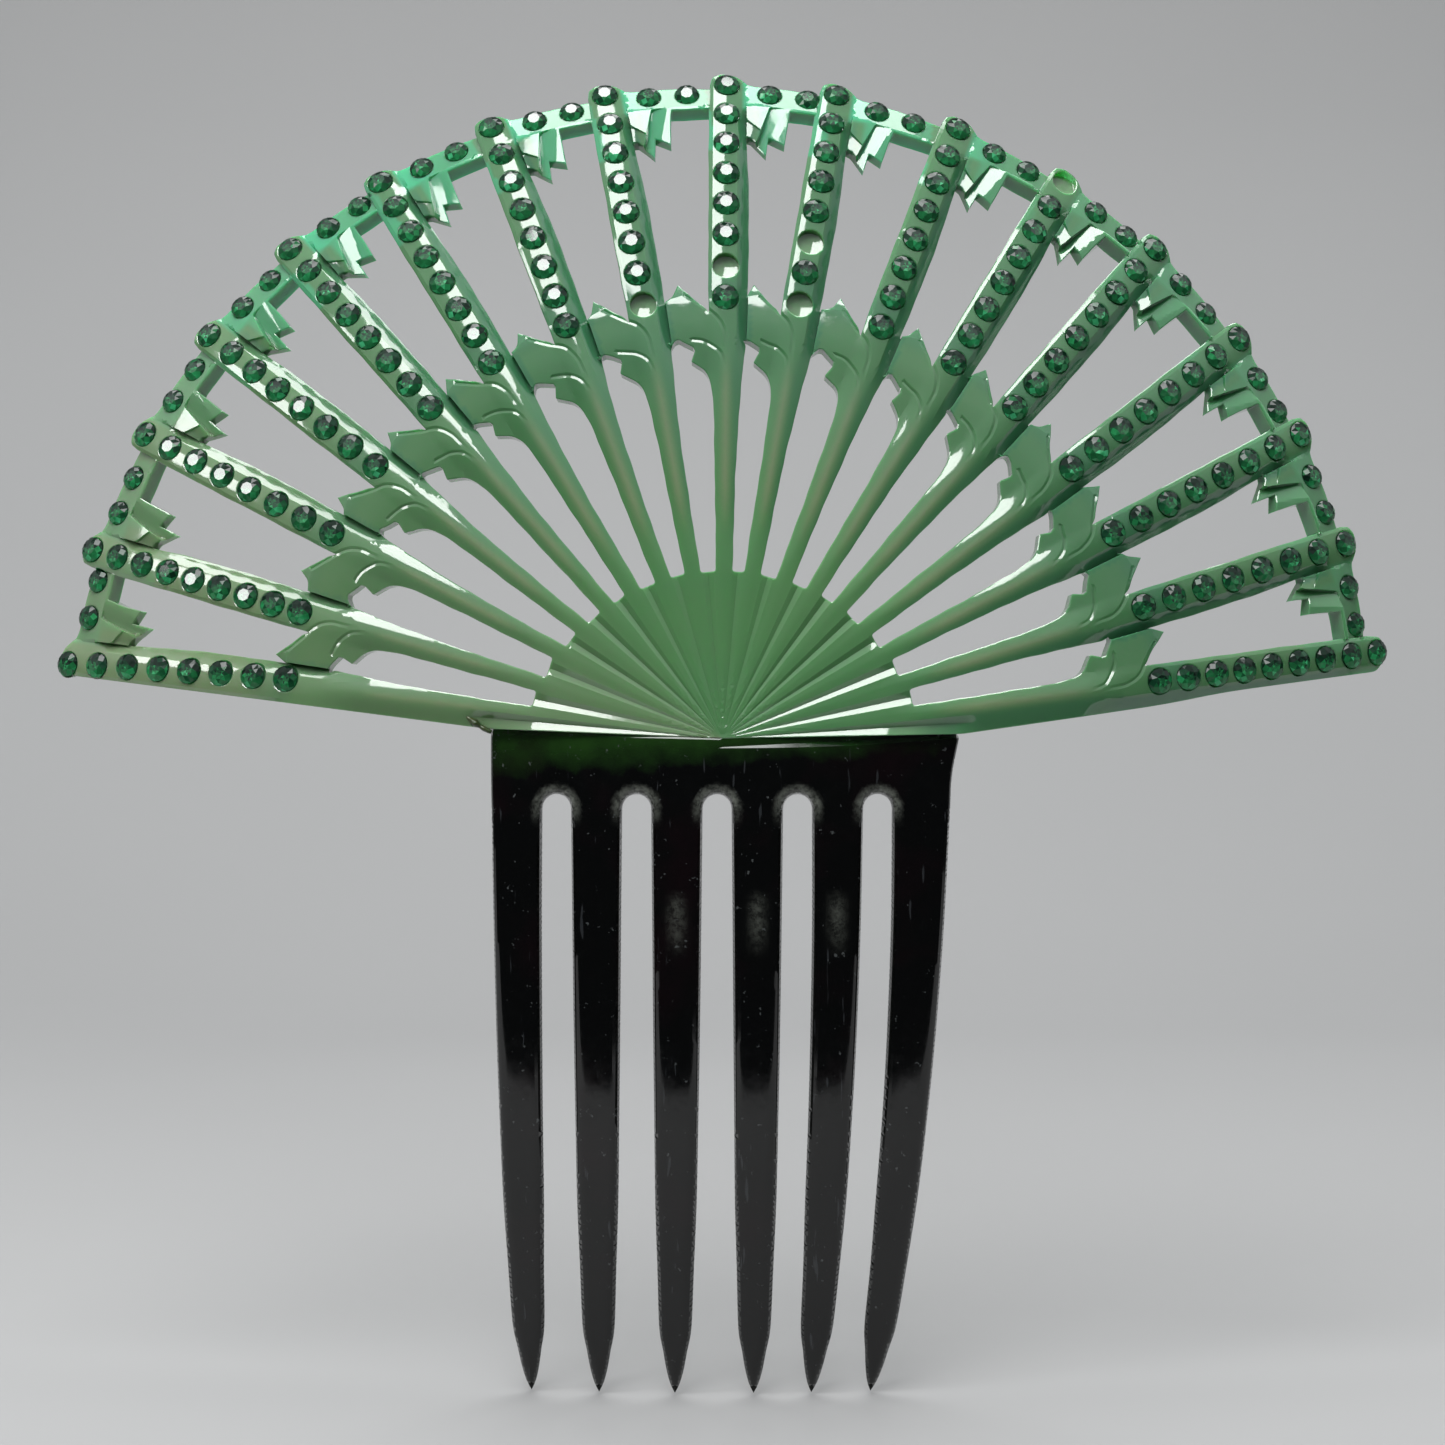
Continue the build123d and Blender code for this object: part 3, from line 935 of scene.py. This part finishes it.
def make_stones(name, seats, rng):
    """A row of stones in their seats, each turned and tipped a little by hand."""
    vertices, faces, slots, lights = [], [], [], []
    for s in seats:
        if not s["filled"]:
            continue
        shape, sides = chaton(s["size"])
        middle, across, radial, normal = seat_axes(s)
        turn = rng.uniform(0, math.tau)
        leaning = bright_lean if s["stick"] in bright_rows and s["radius"] < 74.0 else 0.0
        tip = Vector((leaning + rng.normal(0, stone_tip), rng.normal(0, stone_tip)))
        normal = (normal + across * tip.x + radial * tip.y).normalized()
        across = (across - normal * across.dot(normal)).normalized()
        radial = normal.cross(across)
        sunk = stone_sunk + rng.uniform(-0.06, 0.04)
        start = len(vertices)
        for x, y, z in shape:
            u = x * math.cos(turn) - y * math.sin(turn)
            v = x * math.sin(turn) + y * math.cos(turn)
            vertices.append(middle + across * u + radial * v + normal * (z + sunk))
        for part, face in sides:
            faces.append(tuple(start + k for k in face))
            slots.append(1 if part == "foil" else 0)
            centre = sum((vertices[k] for k in faces[-1]), Vector()) / len(face)
            # Painted light: the lower facets of a stone are lighter
            downward = (middle - centre).z / s["size"]
            gloss = 1.0 if part in ("heart", "table") else worn_gloss
            lights += [(facet_light(part, downward, rng), gloss)] * len(face)
    stones = new_object(name, np.array([tuple(v) for v in vertices]), faces, slots, smooth_faces=False)
    paint(stones, "facet_light", "CORNER", [(light, light, light, gloss) for light, gloss in lights])
    return stones


# ---- the comb ----------------------------------------------------------------------
def tooth_centre(tooth, depth):
    drift = (0.9, -0.2, -0.4, -0.3, -2.6, -4.7)[tooth]
    return (tooth - (tooth_count - 1) / 2) * tooth_pitch + drift * (depth / tooth_length) ** 2


def tooth_width(tooth, side, depth):
    """Half the width of a tooth on one side, at a depth below its root."""
    flare = 0.9 if (tooth, side) == (tooth_count - 1, 1) else 0.0
    steps = [0.0, 1.6, 28.0, 46.0, 61.0, 66.0, 68.3, tooth_length]
    root = (tooth_pitch - slot_width) / 2
    widths = [root, root, 2.6, 2.35, 1.85, 1.05, 0.45, 0.0]
    return np.interp(depth, steps, widths) + flare * (1 - np.clip(depth / tooth_length, 0, 1)) ** 2


def tooth_line(tooth, side):
    """Points down one side of a tooth, from the slot to the point."""
    points = []
    for depth in (1.6, 15.0, 28.0, 37.0, 46.0, 54.0, 61.0, 64.0, 66.2, 67.9):
        x = tooth_centre(tooth, depth) + side * float(tooth_width(tooth, side, depth))
        points.append((x, -depth))
    points.append((tooth_centre(tooth, tooth_length), -tooth_length))
    return curve_through(points, 0.45)


def comb_outline():
    """The comb's edge seen from the front, without the hidden tongue's corners."""
    line = []
    for tooth in range(tooth_count):
        line.extend(tooth_line(tooth, -1))
        line.extend(tooth_line(tooth, 1)[::-1][1:])
        if tooth < tooth_count - 1:
            left = tooth_line(tooth, 1)[0]
            right = tooth_line(tooth + 1, -1)[0]
            middle, radius = (left + right) / 2, (right[0] - left[0]) / 2
            for k in range(1, 12):
                t = math.pi * k / 12
                line.append(middle + np.array([-radius * math.cos(t), radius * math.sin(t)]))
    top = [(26.2, 2.0, 2.0), (27.1, 6.3, 0.3), (26.6, 7.3, 0.3), (0.0, 8.5, 9.0)]
    top += [(-25.3, 8.0, 0.3), (-25.3, 2.0, 2.0)]
    corners = rounded_loop([(*line[-1], 0.0), *top, (*line[0], 0.0)], 0.5)
    first = int(np.argmin(np.hypot(*(corners - line[-1]).T)))
    last = int(np.argmin(np.hypot(*(corners - line[0]).T)))
    over = np.roll(corners, -first, axis=0)[1 : (last - first) % len(corners)]
    return spaced_loop(np.vstack([np.array(line), over]), 0.45)


def comb_surfaces(places):
    """Depth of the comb's middle and half its thickness, at each place."""
    x, z = places[:, 0], places[:, 1]
    share = np.clip(-z / tooth_length, 0, 1.05)
    front = tooth_set_back * share**2
    back_root, back_tip = comb_thickness, tooth_set_back + tooth_tip_thickness
    middle_pull = comb_thickness - 0.6
    back = back_root * (1 - share) ** 2 + 2 * share * (1 - share) * middle_pull + share**2 * back_tip
    bow = comb_bow_radius - np.sqrt(comb_bow_radius**2 - x**2)
    return (front + back) / 2 + bow, (back - front) / 2


def distance_to(loop, places):
    """Distance from each place to a closed line."""
    tree = tree_of(loop)
    result = np.zeros(len(places))
    count = len(loop)
    for i, place in enumerate(places):
        k = tree.find((*place, 0))[1]
        best = 1e9
        for a, b in ((loop[k - 1], loop[k]), (loop[k], loop[(k + 1) % count])):
            step = b - a
            t = min(max(float((place - a) @ step) / float(step @ step), 0.0), 1.0)
            best = min(best, float(np.linalg.norm(place - a - step * t)))
        result[i] = best
    return result


def slot_arches(places):
    """How deep the pointed arch cut round each slot's top is, at each place."""
    deep = np.zeros(len(places))
    span, reach = 2.75, 5.2
    for tooth in range(tooth_count - 1):
        middle = (tooth - tooth_count / 2 + 1) * tooth_pitch
        x = places[:, 0] - middle
        z = places[:, 1] + slot_width / 2
        above = np.maximum(z, 0)
        away = np.maximum(np.hypot(x - (reach - span), above), np.hypot(x + (reach - span), above))
        arch = np.clip((reach - away) / (span - slot_width / 2), 0, 1)
        beside = np.hypot(x, above) - slot_width / 2
        bevel = np.clip(1 - beside / 0.75, 0, 1)
        cut = arch_depth * arch + slot_bevel * bevel
        deep = np.maximum(deep, cut * (1 - smooth(2.0, 14.0, -z)))
    return deep


def shoulder_line(xs):
    """The height of the fan's lower edge along the comb."""
    slope = np.where(xs < 0, shoulder_left[1] / -shoulder_left[0], shoulder_right[1] / shoulder_right[0])
    return focus_height + np.abs(xs) * slope


def ledge(xs):
    """The bright bevel along the bed: its upper line and how wide it is."""
    share = np.clip(np.abs(xs) / 26.0, 0, 1)
    below = np.where(xs < 0, 0.04, 0.95 - 0.8 * share)
    width = np.where(xs < 0, 0.12 + 0.42 * share, 0.12 + 0.42 * np.sin(math.pi * np.clip(share * 0.85, 0, 1)))
    return shoulder_line(xs) - below, width


def make_comb():
    loop = wound(comb_outline(), 1)
    normals = loop_normals(loop)
    fill = []
    for tooth in range(tooth_count):
        for depth in np.arange(2.0, 68.6, 0.6):
            centre = tooth_centre(tooth, depth)
            for share in (0.0, 0.25, 0.5, 0.68, 0.82, 0.92, 0.975):
                for side in (-1, 1):
                    width = float(tooth_width(tooth, side, depth))
                    if share > 0 or side > 0:
                        fill.append((centre + side * share * width, -depth))
    plate = hex_grid((-26, -3.4), (28, 9), 0.38)
    fill = np.vstack([np.array(fill), plate[plate[:, 1] > -3.2]])
    rows = []
    for shift in (0.05, 0.14, 0.28, 0.5):
        ring = loop + normals * shift
        near_plate = ring[:, 1] > -3.0
        rows.append(ring[near_plate & inside(loop, ring)])
    fill = np.vstack([fill] + rows)
    # Rows of places along the bevel and the step of the fan's bed
    xs = np.arange(-25.2, 27.0, 0.3)
    upper, width = ledge(xs)
    bed_rows = [upper, upper - width, shoulder_line(xs) + 0.05, shoulder_line(xs) + 0.14]
    for row in bed_rows:
        fill = fill[np.abs(fill[:, 1] - np.interp(fill[:, 0], xs - comb_middle, row)) > 0.2]
    fill = np.vstack([fill] + [np.stack([xs - comb_middle, row], 1) for row in bed_rows])
    fill = fill[inside(loop, fill)]
    points, triangles, where = triangulated([loop], [], fill, lambda p: inside(loop, p), 0.0, 1e-5)
    distance = distance_to(loop, points)
    distance[where] = 0.0
    middle, half = comb_surfaces(points)
    depth = -points[:, 1]
    roundness = 0.45 + 0.75 * smooth(2.0, 22.0, depth)
    edge = np.clip(distance / roundness, 0, 1)
    power = 2.6 - 0.4 * smooth(2.0, 22.0, depth)
    fullness = (1 - (1 - edge) ** power) ** (1 / power)
    arches = slot_arches(points)
    front = middle - half * fullness
    front += np.minimum(arches, 2 * half * fullness * 0.45)
    back = middle + half * fullness
    # Behind the fan the front is cut back to the bed that the fan lies in
    xs = points[:, 0] + comb_middle
    upper, width = ledge(xs)
    front += 0.58 * width * np.clip((points[:, 1] - upper + width) / width, 0, 1)
    bed = points[:, 1] > shoulder_line(xs) + 0.09
    front = np.where(bed, np.maximum(front, fan_thickness + 0.02), front)
    back = np.maximum(back, front + 0.02)
    back[where] = front[where]
    vertices = [np.stack([xs, front, points[:, 1]], 1), np.stack([xs, back, points[:, 1]], 1)]
    count = len(points)
    back_index = np.arange(count) + count
    back_index[where] = where
    faces = [tuple(t) for t in triangles]
    faces += [(back_index[t[0]], back_index[t[2]], back_index[t[1]]) for t in triangles]
    used = sorted({v for f in faces for v in f})
    renumber = {old: new for new, old in enumerate(used)}
    vertices = np.vstack(vertices)[used]
    piece = new_object("fitted_comb", vertices, [tuple(renumber[v] for v in f) for f in faces])
    x = points[:, 0]
    nearest_slot = np.clip(np.round(x / tooth_pitch), -2, 2) * tooth_pitch
    beside = np.hypot(x - nearest_slot, np.maximum(points[:, 1] + slot_width / 2, 0)) - slot_width / 2
    # Painted highlight in a band round each slot's top, where the bevel catches the light and hair wears it
    sheen_and_wear = np.clip(1.25 - np.abs(beside - 0.5) / 0.6, 0, 1) * smooth(-3.6, -0.4, points[:, 1])
    # Painted sheen where the middle teeth show a reflection
    for tooth in (2, 3, 4):
        aside = (x - tooth_centre(tooth, 13.0)) / 0.75
        painted_sheen = smooth(-18.5, -14.0, points[:, 1]) * (1 - smooth(-12.6, -10.4, points[:, 1]))
        sheen_and_wear = np.maximum(sheen_and_wear, 0.42 * painted_sheen * np.exp(-(aside**2)))
    # A faint painted highlight along every edge
    sheen_and_wear = np.maximum(sheen_and_wear, 0.14 * np.clip(1 - distance / 0.35, 0, 1))
    sheen_and_wear = np.concatenate([sheen_and_wear, sheen_and_wear])[used]
    paint(piece, "edge_sheen_and_wear", "POINT", np.stack([sheen_and_wear, sheen_and_wear, sheen_and_wear, np.ones(len(sheen_and_wear))], 1))
    piece.data.set_sharp_from_angle(angle=math.radians(comb_crease_angle))
    return piece


# ---- the cement -----------------------------------------------------------------
def make_cement():
    """The cement that squeezed out at the left end of the joint, under the end stick."""
    bead_half = 0.34
    path = [(-25.6, 6.9), (-26.5, 7.35), (-27.5, 8.0), (-28.5, 8.75), (-29.4, 9.45)]
    points = curve_through(path, 0.12)
    run = np.linspace(0, 1, len(points))
    width = bead_half * np.sin(math.pi * np.clip(0.12 + run * 0.88, 0, 1)) ** 0.6
    width *= 1 + 0.18 * np.sin(run * 17.0) + 0.1 * np.sin(run * 31.0 + 1.0)
    sides = 14
    vertices = []
    for point, aside, half in zip(points, left_of(points), width):
        for k in range(sides):
            t = math.tau * k / sides
            x, z = point + aside * half * math.cos(t)
            vertices.append((x, 0.75 + 0.62 * half / bead_half * math.sin(t), z))
    faces = []
    for row in range(len(points) - 1):
        for k in range(sides):
            after = (k + 1) % sides
            a, b = row * sides + k, row * sides + after
            faces.append((a, b, b + sides, a + sides))
    faces.append(tuple(reversed(range(sides))))
    faces.append(tuple(range(len(vertices) - sides, len(vertices))))
    return new_object("cement_bead", np.array(vertices), faces)


# ---- materials ------------------------------------------------------------------------
class Nodes:
    """The node tree of a material or a world, with short calls to add to it."""

    def __init__(self, owner, shader="Principled BSDF"):
        owner.use_nodes = True
        self.owner = owner
        self.tree = owner.node_tree
        self.shader = self.tree.nodes[shader]

    def add(self, kind, **settings):
        node = self.tree.nodes.new(kind)
        for key, value in settings.items():
            setattr(node, key, value)
        return node

    def link(self, source, target):
        self.tree.links.new(source, target)

    def put(self, value, socket):
        """Sets a socket to a constant, or links an output to it."""
        if isinstance(value, (int, float, tuple)):
            socket.default_value = value
        else:
            self.link(value, socket)

    def drive(self, sockets):
        """Sets or links the shader's sockets, by name, and gives back the owner."""
        for name, value in sockets.items():
            self.put(value, self.shader.inputs[name])
        return self.owner

    def noise(self, scale, detail=4.0, roughness=0.55, stretch=None):
        where = self.add("ShaderNodeTexCoord").outputs["Object"]
        if stretch:
            mapping = self.add("ShaderNodeMapping")
            mapping.inputs["Scale"].default_value = stretch
            self.link(where, mapping.inputs["Vector"])
            where = mapping.outputs["Vector"]
        node = self.add("ShaderNodeTexNoise")
        node.inputs["Scale"].default_value = scale
        node.inputs["Detail"].default_value = detail
        node.inputs["Roughness"].default_value = roughness
        self.link(where, node.inputs["Vector"])
        return node.outputs["Fac"]

    def ramp(self, source, stops):
        node = self.add("ShaderNodeValToRGB")
        node.color_ramp.elements.remove(node.color_ramp.elements[1])
        node.color_ramp.elements[0].position = stops[0][0]
        node.color_ramp.elements[0].color = stops[0][1]
        for position, colour in stops[1:]:
            node.color_ramp.elements.new(position).color = colour
        self.link(source, node.inputs["Fac"])
        return node.outputs["Color"]

    def math(self, operation, first, second):
        node = self.add("ShaderNodeMath", operation=operation)
        self.put(first, node.inputs[0])
        self.put(second, node.inputs[1])
        return node.outputs["Value"]

    def between(self, source, low, high):
        node = self.add("ShaderNodeMapRange")
        node.inputs["From Min"].default_value = low
        node.inputs["From Max"].default_value = high
        self.link(source, node.inputs["Value"])
        return node.outputs["Result"]

    def mix(self, share, first, second, kind="MIX"):
        node = self.add("ShaderNodeMix", data_type="RGBA", blend_type=kind)
        for name, value in (("Factor_Float", share), ("A_Color", first), ("B_Color", second)):
            self.put(value, next(i for i in node.inputs if i.identifier == name))
        return next(o for o in node.outputs if o.identifier == "Result_Color")

    def bump(self, source, strength, distance, under=None):
        node = self.add("ShaderNodeBump")
        node.inputs["Strength"].default_value = strength
        node.inputs["Distance"].default_value = distance
        self.link(source, node.inputs["Height"])
        if under is not None:
            self.link(under, node.inputs["Normal"])
        return node.outputs["Normal"]


def grey(value):
    return (value, value, value, 1.0)


def new_material(name):
    return Nodes(bpy.data.materials.new(name))


def jade():
    """Milky celluloid: pale on the hub, with painted shade darker outward and teal on the turned-down facets,
    and a painted emerald glow along the top.
    """
    m = new_material("jade_celluloid")
    stops = [(0.3, (0.086, 0.242, 0.102, 1)), (0.5, (0.104, 0.26, 0.102, 1)), (0.72, (0.13, 0.272, 0.112, 1))]
    clouds = m.ramp(m.noise(28.0, 3.0, 0.5), stops)
    shares = m.add("ShaderNodeSeparateColor")
    kept = m.add("ShaderNodeVertexColor", layer_name="tones")
    m.link(kept.outputs["Color"], shares.inputs["Color"])
    # Teal painted shade
    tint = m.mix(m.math("MULTIPLY", shares.outputs["Red"], 0.75), clouds, (0.045, 0.195, 0.1, 1))
    tint = m.mix(m.math("MULTIPLY", shares.outputs["Green"], 0.85), tint, (0.245, 0.305, 0.168, 1))
    # Painted shade, darker outward
    tint = m.mix(kept.outputs["Alpha"], (0.034, 0.135, 0.066, 1), tint)
    # Painted emerald glow along the top
    tint = m.mix(shares.outputs["Blue"], tint, (0.03, 0.5, 0.26, 1))
    fine = m.bump(m.noise(1500.0, 2.0), 0.08, 0.00006)
    looks = {
        "Base Color": tint,
        "Roughness": m.ramp(m.noise(900.0, 3.0), [(0.35, grey(0.05)), (0.8, grey(0.13))]),
        "Normal": m.bump(m.noise(160.0, 2.0), 0.04, 0.0002, fine),
        "Subsurface Weight": 0.7,
        "Subsurface Radius": (0.4, 1.0, 0.5),
        "Subsurface Scale": 0.002,
        "IOR": 1.5,
        "Coat Weight": 0.8,
        "Coat Roughness": 0.03,
    }
    return m.drive(looks)


def bottle_green():
    """Near black, mottled green along the top, with plum shadows, scratches, and wear together with painted
    highlights and painted sheen.
    """
    m = new_material("bottle_green_celluloid")
    place = m.add("ShaderNodeTexCoord").outputs["Object"]
    parts = m.add("ShaderNodeSeparateXYZ")
    m.link(place, parts.inputs["Vector"])
    mottle = m.math("MULTIPLY", m.noise(330.0, 4.0), 0.004)
    leaning = m.math("MULTIPLY", parts.outputs["X"], -0.055)
    level = m.math("ADD", m.math("ADD", parts.outputs["Z"], mottle), leaning)
    high = m.between(level, 0.0052, 0.0098)
    body = m.mix(high, (0.0012, 0.0014, 0.0014, 1), (0.015, 0.055, 0.008, 1))
    plum = m.ramp(m.noise(90.0, 3.0), [(0.52, grey(0.0)), (0.7, grey(0.8))])
    body = m.mix(plum, body, (0.004, 0.0014, 0.0022, 1))
    specks = m.ramp(m.noise(1100.0, 2.0, 0.8), [(0.68, grey(0.0)), (0.74, grey(0.6))])
    scratch = m.ramp(m.noise(60.0, 2.0, 0.5, (22.0, 1.0, 3.0)), [(0.69, grey(0.0)), (0.73, grey(0.4))])
    # Painted highlights round the slots and along the edges, painted sheen on the middle teeth, and wear,
    # lighten the comb
    sheen_and_wear = m.add("ShaderNodeVertexColor", layer_name="edge_sheen_and_wear").outputs["Color"]
    uneven = m.ramp(m.noise(1300.0, 5.0, 0.8), [(0.4, grey(0.2)), (0.6, grey(1.0))])
    body = m.mix(m.mix(1.0, sheen_and_wear, uneven, "MULTIPLY"), body, (0.14, 0.15, 0.13, 1))
    body = m.mix(specks, body, (0.09, 0.1, 0.1, 1))
    body = m.mix(scratch, body, (0.05, 0.055, 0.06, 1))
    rough = m.ramp(m.noise(700.0, 5.0, 0.7), [(0.35, grey(0.07)), (0.8, grey(0.2))])
    grain = m.bump(m.noise(220.0, 3.0), 0.08, 0.0001)
    return m.drive({"Base Color": body, "Roughness": rough, "Normal": grain, "IOR": 1.5})


def paste():
    """Green glass over foil: the painted light of each facet is kept on the mesh and sets its colour."""
    m = new_material("green_paste")
    kept = m.add("ShaderNodeVertexColor", layer_name="facet_light")
    light, gloss = kept.outputs["Color"], kept.outputs["Alpha"]
    uneven = m.ramp(m.noise(1400.0, 2.0), [(0.3, grey(0.75)), (0.7, grey(1.0))])
    stops = [(0.0, (0.002, 0.012, 0.006, 1)), (0.2, (0.006, 0.045, 0.02, 1)), (0.45, (0.013, 0.125, 0.04, 1))]
    stops += [(0.7, (0.024, 0.27, 0.09, 1)), (1.0, (0.08, 0.56, 0.25, 1))]
    # The tables are polished best, the small facets round them are worn
    coat = m.math("MULTIPLY", m.math("SUBTRACT", gloss, worn_gloss), 1.6)
    looks = {
        "Base Color": m.ramp(m.mix(1.0, light, uneven, "MULTIPLY"), stops),
        "Roughness": 0.06,
        "IOR": 1.58,
        "Specular IOR Level": m.math("MULTIPLY", gloss, 0.5),
        "Coat Weight": coat,
        "Coat Roughness": 0.03,
    }
    return m.drive(looks)


def foil():
    m = new_material("green_foil")
    tint = m.ramp(m.noise(800.0, 1.0), [(0.3, (0.02, 0.14, 0.06, 1)), (0.75, (0.1, 0.45, 0.22, 1))])
    return m.drive({"Base Color": tint, "Metallic": 1.0, "Roughness": 0.22})


def old_cement():
    m = new_material("old_cement")
    stops = [(0.3, (0.016, 0.035, 0.008, 1)), (0.6, (0.05, 0.075, 0.02, 1)), (0.8, (0.12, 0.15, 0.06, 1))]
    looks = {"Base Color": m.ramp(m.noise(520.0, 3.0), stops), "Roughness": 0.28}
    return m.drive({**looks, "Subsurface Weight": 0.2, "Subsurface Scale": 0.0005})


def pale_floor():
    m = new_material("pale_floor")
    tint = m.ramp(m.noise(3.0, 2.0), [(0.3, grey(0.335)), (0.7, grey(0.355))])
    return m.drive({"Base Color": tint, "Roughness": 0.6})


# ---- the object ----------------------------------------------------------------------------
fan = make_fan()
fan.data.materials.append(jade())
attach(fan, "root")
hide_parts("fan")

stone_materials = (paste(), foil())
stone_rng = np.random.default_rng(5)
rows_of_seats = [(f"stick_{k + 1:02d}", stick_seats(k)) for k in range(stick_count)]
rows_of_seats += [(f"rim_{k + 1:02d}", rim_seats(k)) for k in range(stick_count - 1)]
for row_name, row_seats in rows_of_seats:
    stones = make_stones(f"{row_name}_chatons", row_seats, stone_rng)
    for material in stone_materials:
        stones.data.materials.append(material)
    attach(stones, "root")
    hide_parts(f"{row_name}_stones")

comb = make_comb()
comb.data.materials.append(bottle_green())
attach(comb, "root")
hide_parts("toothed_comb")


cement = make_cement()
cement.data.materials.append(old_cement())
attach(cement, "root")

# ---- floor, light and camera ----------------------------------------------------------------
low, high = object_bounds()
floor_gap = 0.0002
floor_level = low.z - floor_gap


def make_floor():
    """A pale floor that turns up into a backdrop in one curve."""
    front, turn, back, reach = -0.07, 0.35, 0.75, 1.6
    steps = 12
    line = [(front, 0.0)]
    for k in range(steps + 1):
        t = math.pi / 2 * k / steps
        line.append((back - turn + turn * math.sin(t), turn - turn * math.cos(t)))
    line.append((back, reach))
    vertices = [(side * reach, y, z + floor_level) for y, z in line for side in (-1, 1)]
    faces = [(2 * k, 2 * k + 1, 2 * k + 3, 2 * k + 2) for k in range(len(line) - 1)]
    floor = new_object("floor", np.array(vertices) / MM, faces)
    floor.data.materials.append(pale_floor())
    floor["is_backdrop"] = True


make_floor()


def area_light(name, place, target, size, power):
    data = bpy.data.lights.new(name, "AREA")
    data.shape = "RECTANGLE"
    data.size, data.size_y = size
    data.energy = power
    lamp = bpy.data.objects.new(name, data)
    lamp.location = place
    lamp.rotation_euler = (Vector(target) - Vector(place)).to_track_quat("-Z", "Y").to_euler()
    bpy.context.scene.collection.objects.link(lamp)


# Each lamp's name, place, target, size in metres and power in watts
lamps = (
    ("overhead", (-0.082, -0.468, 0.70), (0, 0, 0.05), (0.32, 0.56), 5.6),
    ("ceiling", (0.0, 0.12, 0.95), (0, 0, 0), (0.7, 0.5), 6.0),
    ("window", (-0.62, -0.42, 0.37), (0, 0, 0.02), (0.24, 0.2), 1.4),
)
for lamp in lamps:
    area_light(*lamp)


def studio_world():
    """Soft light from above and the sides, and a dim room in front."""
    world = Nodes(bpy.data.worlds.new("studio"), "Background")
    parts = world.add("ShaderNodeSeparateXYZ")
    world.link(world.add("ShaderNodeTexCoord").outputs["Generated"], parts.inputs["Vector"])
    stops = [(0.0, (0.035, 0.037, 0.04, 1)), (1.0, (0.75, 0.78, 0.8, 1))]
    room = world.ramp(world.between(parts.outputs["Z"], 0.03, 0.6), stops)
    # The room in front shows dark in the glossy comb, and pale behind the comb itself
    seen = world.add("ShaderNodeLightPath").outputs["Is Camera Ray"]
    colour = world.mix(seen, room, (0.46, 0.47, 0.475, 1))
    bpy.context.scene.world = world.drive({"Color": colour, "Strength": 1.0})


studio_world()
bpy.context.scene.view_settings.view_transform = "Standard"

sensor_width = 36.0
seen_width, seen_distance = 0.1662, 0.330  # the picture's width at that distance from the camera
camera_data = bpy.data.cameras.new("camera")
camera = bpy.data.objects.new("camera", camera_data)
camera.location = (0.0, -0.317, 0.00797)
camera.rotation_euler = (math.radians(90), 0, 0)
camera_data.sensor_width = sensor_width
camera_data.lens = sensor_width * seen_distance / seen_width
camera_data.clip_start, camera_data.clip_end = 0.01, 10.0
bpy.context.scene.collection.objects.link(camera)
bpy.context.scene.camera = camera

low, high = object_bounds()
